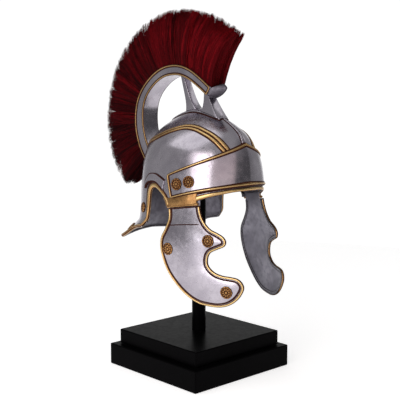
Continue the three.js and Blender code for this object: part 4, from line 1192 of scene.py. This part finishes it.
def rosette(name, radius, on_surface, lift, node, body="helmet"):
    """A round boss: a scalloped rim, a ring of petals and a middle button. It stands where
    on_surface gives its one place at a lift."""
    petals = 10

    def petal_at(turn):
        return np.cos(petals / 2 * turn + 2) ** 2

    def scallop_at(turn):
        return 0.5 + 0.5 * np.cos(petals * turn)

    def spot(u, v):
        turn = u * 2 * math.pi
        rim = np.exp(-((v - 0.85) / 0.1) ** 2) * (0.75 + 0.35 * scallop_at(turn))
        ring = np.sin(math.pi * np.clip((v - 0.27) / 0.42, 0, 1))
        petal = ring * (0.35 + 0.65 * petal_at(turn))
        button = np.sqrt(np.clip(1 - (v / 0.23) ** 2, 0, 1))
        rise = np.where(v > 0.985, 0, 0.28 + 0.62 * rim + 0.6 * petal + 0.62 * button)
        reach = radius * v * (1 + 0.035 * scallop_at(turn) * v)
        return points(reach * np.cos(turn), reach * np.sin(turn), rosette_thick * 0.85 * rise)

    def wash(u, v):
        turn = u * 2 * math.pi
        grooves = np.exp(-((v - 0.26) / 0.06) ** 2) + np.exp(-((v - 0.71) / 0.06) ** 2)
        gaps = np.where((v > 0.3) & (v < 0.68), 1 - petal_at(turn), 0)
        notches = np.where(v > 0.76, (1 - scallop_at(turn)) * 0.55, 0)
        # Brown wash lies in the grooves, gaps and notches; below zero, on the petals, rim and button,
        # is a painted highlight of paler gold
        return np.clip(grooves + 0.8 * gaps ** 2 + notches + 0.8 * (v > 0.95) - 0.08, -0.2, 1)

    base, tip = (on_surface(np.full(1, lift + more))[0] for more in (0, 1))
    bm = bmesh.new()
    made = grid(bm, 80, 20, spot, wash)
    matrix = (Matrix.Translation(Vector(base * MM))
              @ Vector(tip - base).to_track_quat("Z", "Y").to_matrix().to_4x4())
    bmesh.ops.transform(bm, verts=made, matrix=matrix)
    close_ends(bm)
    finish_piece(bm, name, [copper], [node], body)


def place_rosettes(side, sign, body):
    one = np.ones(1)
    for name, (forward, down) in cheek_rosettes.items():
        y, z = cheek_side(forward, down)
        rosette(f"cheek_boss_{name}_{side}", cheek_rosette_radius,
                lambda lift: on_domed_cheek(sign, y * one, z * one, lift), clearance,
                f"cheek_rosette_{name}_{side}", body)
    for name, (turn, up) in brow_rosettes.items():
        height = rim_height + bowl_rise * up
        rosette(f"brow_boss_{name}_{side}", rosette_radius * brow_boss_share,
                lambda lift: on_bowl(sign * turn * DEG * one, height * one, lift),
                clearance + seat + brow_thick, f"brow_rosette_{name}_{side}")
    for name, (along, out) in neck_rosettes.items():
        along = 2 - along if sign < 0 else along
        turn = (flange_turn + (180 - flange_turn) * along) * DEG

        def on_neck(lift):
            if out > 0:
                return on_flange(along * one, out * one, lift)
            return on_bowl(turn * one, (neck_bottom - neck_drop * out) * one, lift)

        rosette(f"neck_boss_{name}_{side}", rosette_radius, on_neck, clearance,
                f"neck_rosette_{name}_{side}")


for side_name, side_sign, cheek_body in SIDES:
    make_ear_guard(side_name, side_sign)
    make_hinge_band(side_name, side_sign)
    make_hinge_lining(side_name, side_sign)
    make_hinge_rod(side_name, side_sign)
    make_hoops(side_name, side_sign)
    make_crest_border(side_name, side_sign)
    make_cheek(side_name, side_sign, cheek_body)
    place_rosettes(side_name, side_sign, cheek_body)


# The plume

def plume_place(share, reach, side):
    """A place in the plume: share along the crest, reach from root to tip, side from -1 to 1."""
    place, way, out, _, length = crest(share)
    root_half = crest_width / 2 - 2
    fan = root_half + (plume_spread / 2 - root_half) * np.sqrt(np.maximum(reach, 0))
    half = fan * (1 - 0.55 * np.clip(reach, 0, 1) ** 6)
    curl = share ** 4 * (0.5 + 4 * (1 - reach)) + (1 - share) ** 4
    spot = (place + out * (clearance + length * plume_reach * reach)[..., None]
            - way * (plume_curl * curl * reach)[..., None])
    spot[..., 0] = side * half
    return spot


def make_tuft(number, rng, section):
    """One sixth of the plume: bristles in clumps, each a thin three-sided bar that tapers."""
    clumps, each, joints = 115, 26, 6
    count = clumps * each
    owner = np.repeat(np.arange(clumps), each)
    spread = rng.uniform(-0.5, 0.5, clumps)
    clump_share = (number + (np.arange(clumps) + spread) / clumps) / 6
    clump_side = rng.choice([-1, 1], clumps) * (1 - rng.uniform(0, 1, clumps) ** 2)
    clump_long = 1 - np.abs(rng.normal(0, 0.045, clumps))
    clump_lean = rng.normal(0, 0.013, clumps)
    clump_shade = rng.beta(2.2, 2.6, clumps)
    root_share = clump_share[owner] + rng.normal(0, 0.008, count)
    root_side = np.clip(clump_side[owner] + rng.normal(0, 0.2, count), -1, 1)
    long = clump_long[owner] * (1 - rng.uniform(0, 1, count) ** 2.5 * 0.16)
    gather = rng.uniform(0.35, 0.85, count)
    tip_share = (root_share + (clump_share[owner] - root_share) * gather + clump_lean[owner]
                 + rng.normal(0, 0.0025, count))
    tip_side = root_side + (clump_side[owner] - root_side) * gather * 0.7
    root_share = np.clip(root_share, 0.001, 0.999)
    tip_share = np.clip(tip_share, 0.0, 1.0)
    t = np.linspace(0, 1, joints)
    share = root_share[:, None] + (tip_share - root_share)[:, None] * t ** 1.5
    side = np.clip(root_side[:, None] + (tip_side - root_side)[:, None] * t, -1, 1)
    wave = rng.normal(0, 0.55, (count, 1, 3)) * np.sin(math.pi * t)[None, :, None]
    wave += rng.normal(0, 0.9, (count, 1, 3)) * (t ** 3)[None, :, None]
    spots = (plume_place(share, long[:, None] * t, side) + wave) * MM
    curve = bpy.data.curves.new("strands", "CURVE")
    curve.dimensions = "3D"
    curve.bevel_mode = "OBJECT"
    curve.bevel_object = section
    curve.use_fill_caps = True
    taper = np.array([1.0, 1.0, 1.0, 0.9, 0.7, 0.2])
    for strand, thick in zip(spots, rng.uniform(0.8, 1.25, count)):
        spline = curve.splines.new("POLY")
        spline.points.add(joints - 1)
        spline.points.foreach_set("co", np.c_[strand, np.ones(joints)].ravel())
        spline.points.foreach_set("radius", thick * taper)
    thread = bpy.data.objects.new("strands", curve)
    bpy.context.scene.collection.objects.link(thread)
    bpy.context.view_layer.update()
    mesh = bpy.data.meshes.new_from_object(thread.evaluated_get(bpy.context.evaluated_depsgraph_get()))
    bpy.data.objects.remove(thread)
    strand_of = np.arange(len(mesh.vertices)) // (len(mesh.vertices) // count)
    ahead = np.clip((root_share - 0.1) / 0.8, 0, 1)
    # Each clump's own random tone, plus painted shade that darkens the strands towards the plume's rear
    shade = clump_shade[owner] * 0.75 + rng.normal(0, 0.1, count) + 0.36 * ahead - 0.21
    bright = rng.uniform(0, 1, count) > 0.985
    shade = np.clip(np.where(bright, shade + 0.35, shade), 0.02, 1)
    place = np.zeros(len(mesh.vertices) * 3)
    mesh.vertices.foreach_get("co", place)
    reach = np.linalg.norm(place.reshape(-1, 3) - spots[:, 0][strand_of], axis=1) / (plume_length * MM)
    for name, values in (("shade", shade[strand_of]), ("along", np.clip(reach, 0, 1))):
        mesh.attributes.new(name, "FLOAT", "POINT").data.foreach_set("value", values)
    mesh.materials.clear()
    add_piece(f"plume_bristles_{number + 1}", mesh, [hair], [f"plume_{number + 1}"])


def make_plume():
    rng = np.random.default_rng(7)
    outline = bpy.data.curves.new("bristle_section", "CURVE")
    corners = outline.splines.new("POLY")
    corners.points.add(2)
    for point, turn in zip(corners.points, (0, 120, 240)):
        point.co = (0.5 * MM * math.cos(turn * DEG), 0.5 * MM * math.sin(turn * DEG), 0, 1)
    corners.use_cyclic_u = True
    section = bpy.data.objects.new("bristle_section", outline)
    bpy.context.scene.collection.objects.link(section)
    for number in range(6):
        make_tuft(number, rng, section)
    bpy.data.objects.remove(section)


def make_plume_core():
    """The dense inside of the plume, a body under the strands, dark with painted shade."""
    bm = bmesh.new()
    shade = bm.verts.layers.float.new("shade")
    along = bm.verts.layers.float.new("along")

    def spot(u, v):
        turn = v * 2 * math.pi
        return plume_place(0.015 + 0.955 * u, 0.4 - 0.39 * np.cos(turn), 0.8 * np.sin(turn))

    grid(bm, 90, 24, spot)
    for vert in bm.verts:
        # A low tone and the root's darkening: painted shade inside the plume
        vert[shade], vert[along] = 0.12, 0.3
    close_ends(bm)
    finish_piece(bm, "plume_core", [hair])


make_plume()
make_plume_core()


# Floor, light and camera

def make_floor():
    bm = bmesh.new()
    bmesh.ops.create_circle(bm, cap_ends=True, segments=96, radius=floor_radius)
    mesh = bpy.data.meshes.new("floor")
    bm.to_mesh(mesh)
    bm.free()
    floor = bpy.data.objects.new("floor", mesh)
    material = new_material("pale_floor")
    shader = add_node(material, "ShaderNodeBsdfPrincipled", {
        "Base Color": (0.88, 0.88, 0.88, 1), "Roughness": 0.9, "Specular IOR Level": 0.05,
        "Emission Color": (1, 1, 1, 1), "Emission Strength": 0.55})
    add_node(material, "ShaderNodeOutputMaterial", links={"Surface": shader})
    mesh.materials.append(material)
    bpy.context.scene.collection.objects.link(floor)


def make_studio():
    """A soft grey studio: white where the photograph's background is, dark on its unlit side."""
    world = bpy.data.worlds.new("studio")
    world.use_nodes = True
    world.node_tree.nodes.clear()
    where = add_node(world, "ShaderNodeTexCoord").outputs["Generated"]
    ahead, aside = (
        add_node(world, "ShaderNodeVectorMath", {"operation": "DOT_PRODUCT", 1: way}, {0: where})
        for way in ((math.sin(camera_yaw), math.cos(camera_yaw), -camera_pitch),
                    (math.cos(unlit * DEG), math.sin(unlit * DEG), 0.0))
    )
    glow = add_node(world, "ShaderNodeMapRange", {
        "From Min": math.cos(32 * DEG), "From Max": math.cos(22 * DEG),
        "To Min": studio_grey, "To Max": 1.05}, {"Value": ahead})
    dark = add_node(world, "ShaderNodeMapRange", {
        "From Min": math.cos(44 * DEG), "From Max": math.cos(16 * DEG),
        "To Min": 1.0, "To Max": 0.3}, {"Value": aside})
    both = add_node(world, "ShaderNodeMath", {"operation": "MULTIPLY"}, {0: glow, 1: dark})
    sky = add_node(world, "ShaderNodeBackground", links={"Color": both})
    add_node(world, "ShaderNodeOutputWorld", links={"Surface": sky})
    bpy.context.scene.world = world


def add_light(name, place, aim, size, power, tone):
    data = bpy.data.lights.new(name, "AREA")
    data.shape, data.size, data.size_y = "RECTANGLE", size[0], size[1]
    data.energy, data.color = power, srgb(tone)[:3]
    lamp = bpy.data.objects.new(name, data)
    lamp.location = place
    lamp.rotation_euler = (Vector(aim) - Vector(place)).to_track_quat("-Z", "Y").to_euler()
    lamp.visible_camera = False
    bpy.context.scene.collection.objects.link(lamp)


def make_camera():
    lens = bpy.data.cameras.new("photo_camera")
    lens.sensor_width = 36
    lens.lens = camera_focus / photo_width * lens.sensor_width
    camera = bpy.data.objects.new("photo_camera", lens)
    camera.location = camera_place
    camera.rotation_euler = (math.pi / 2 - camera_pitch, 0, -camera_yaw)
    bpy.context.scene.collection.objects.link(camera)
    bpy.context.scene.camera = camera


# Metres, radians and, for the camera's focal length and the photograph's width, pixels
floor_radius, studio_grey, unlit = 1.4, 0.36, -58
camera_place, camera_yaw, camera_pitch = (-1.107084, -1.188008, 0.522498), 0.751517, 0.126293
camera_focus, photo_width = 875.5265, 400
make_floor()
make_studio()
add_light("key", (-2.07, -0.86, 0.98), (0, 0, 0.38), (1.4, 2.0), 23, "#fff8f6")
add_light("fill", (-0.85, -2.2, 0.95), (0, 0, 0.38), (2.3, 1.4), 5, "#ffe4de")
add_light("top", (-0.95, 0.55, 2.7), (0, 0, 0.4), (2.2, 2.2), 13, "#ffffff")
add_light("side", (1.75, -0.72, 1.85), (0, 0, 0.4), (1.2, 1.2), 2.5, "#ffffff")
add_light("low", (-2.2, -0.08, 0.12), (0, 0, 0.25), (0.8, 0.55), 2.6, "#ffffff")
make_camera()
bpy.context.scene.view_settings.view_transform = "Standard"

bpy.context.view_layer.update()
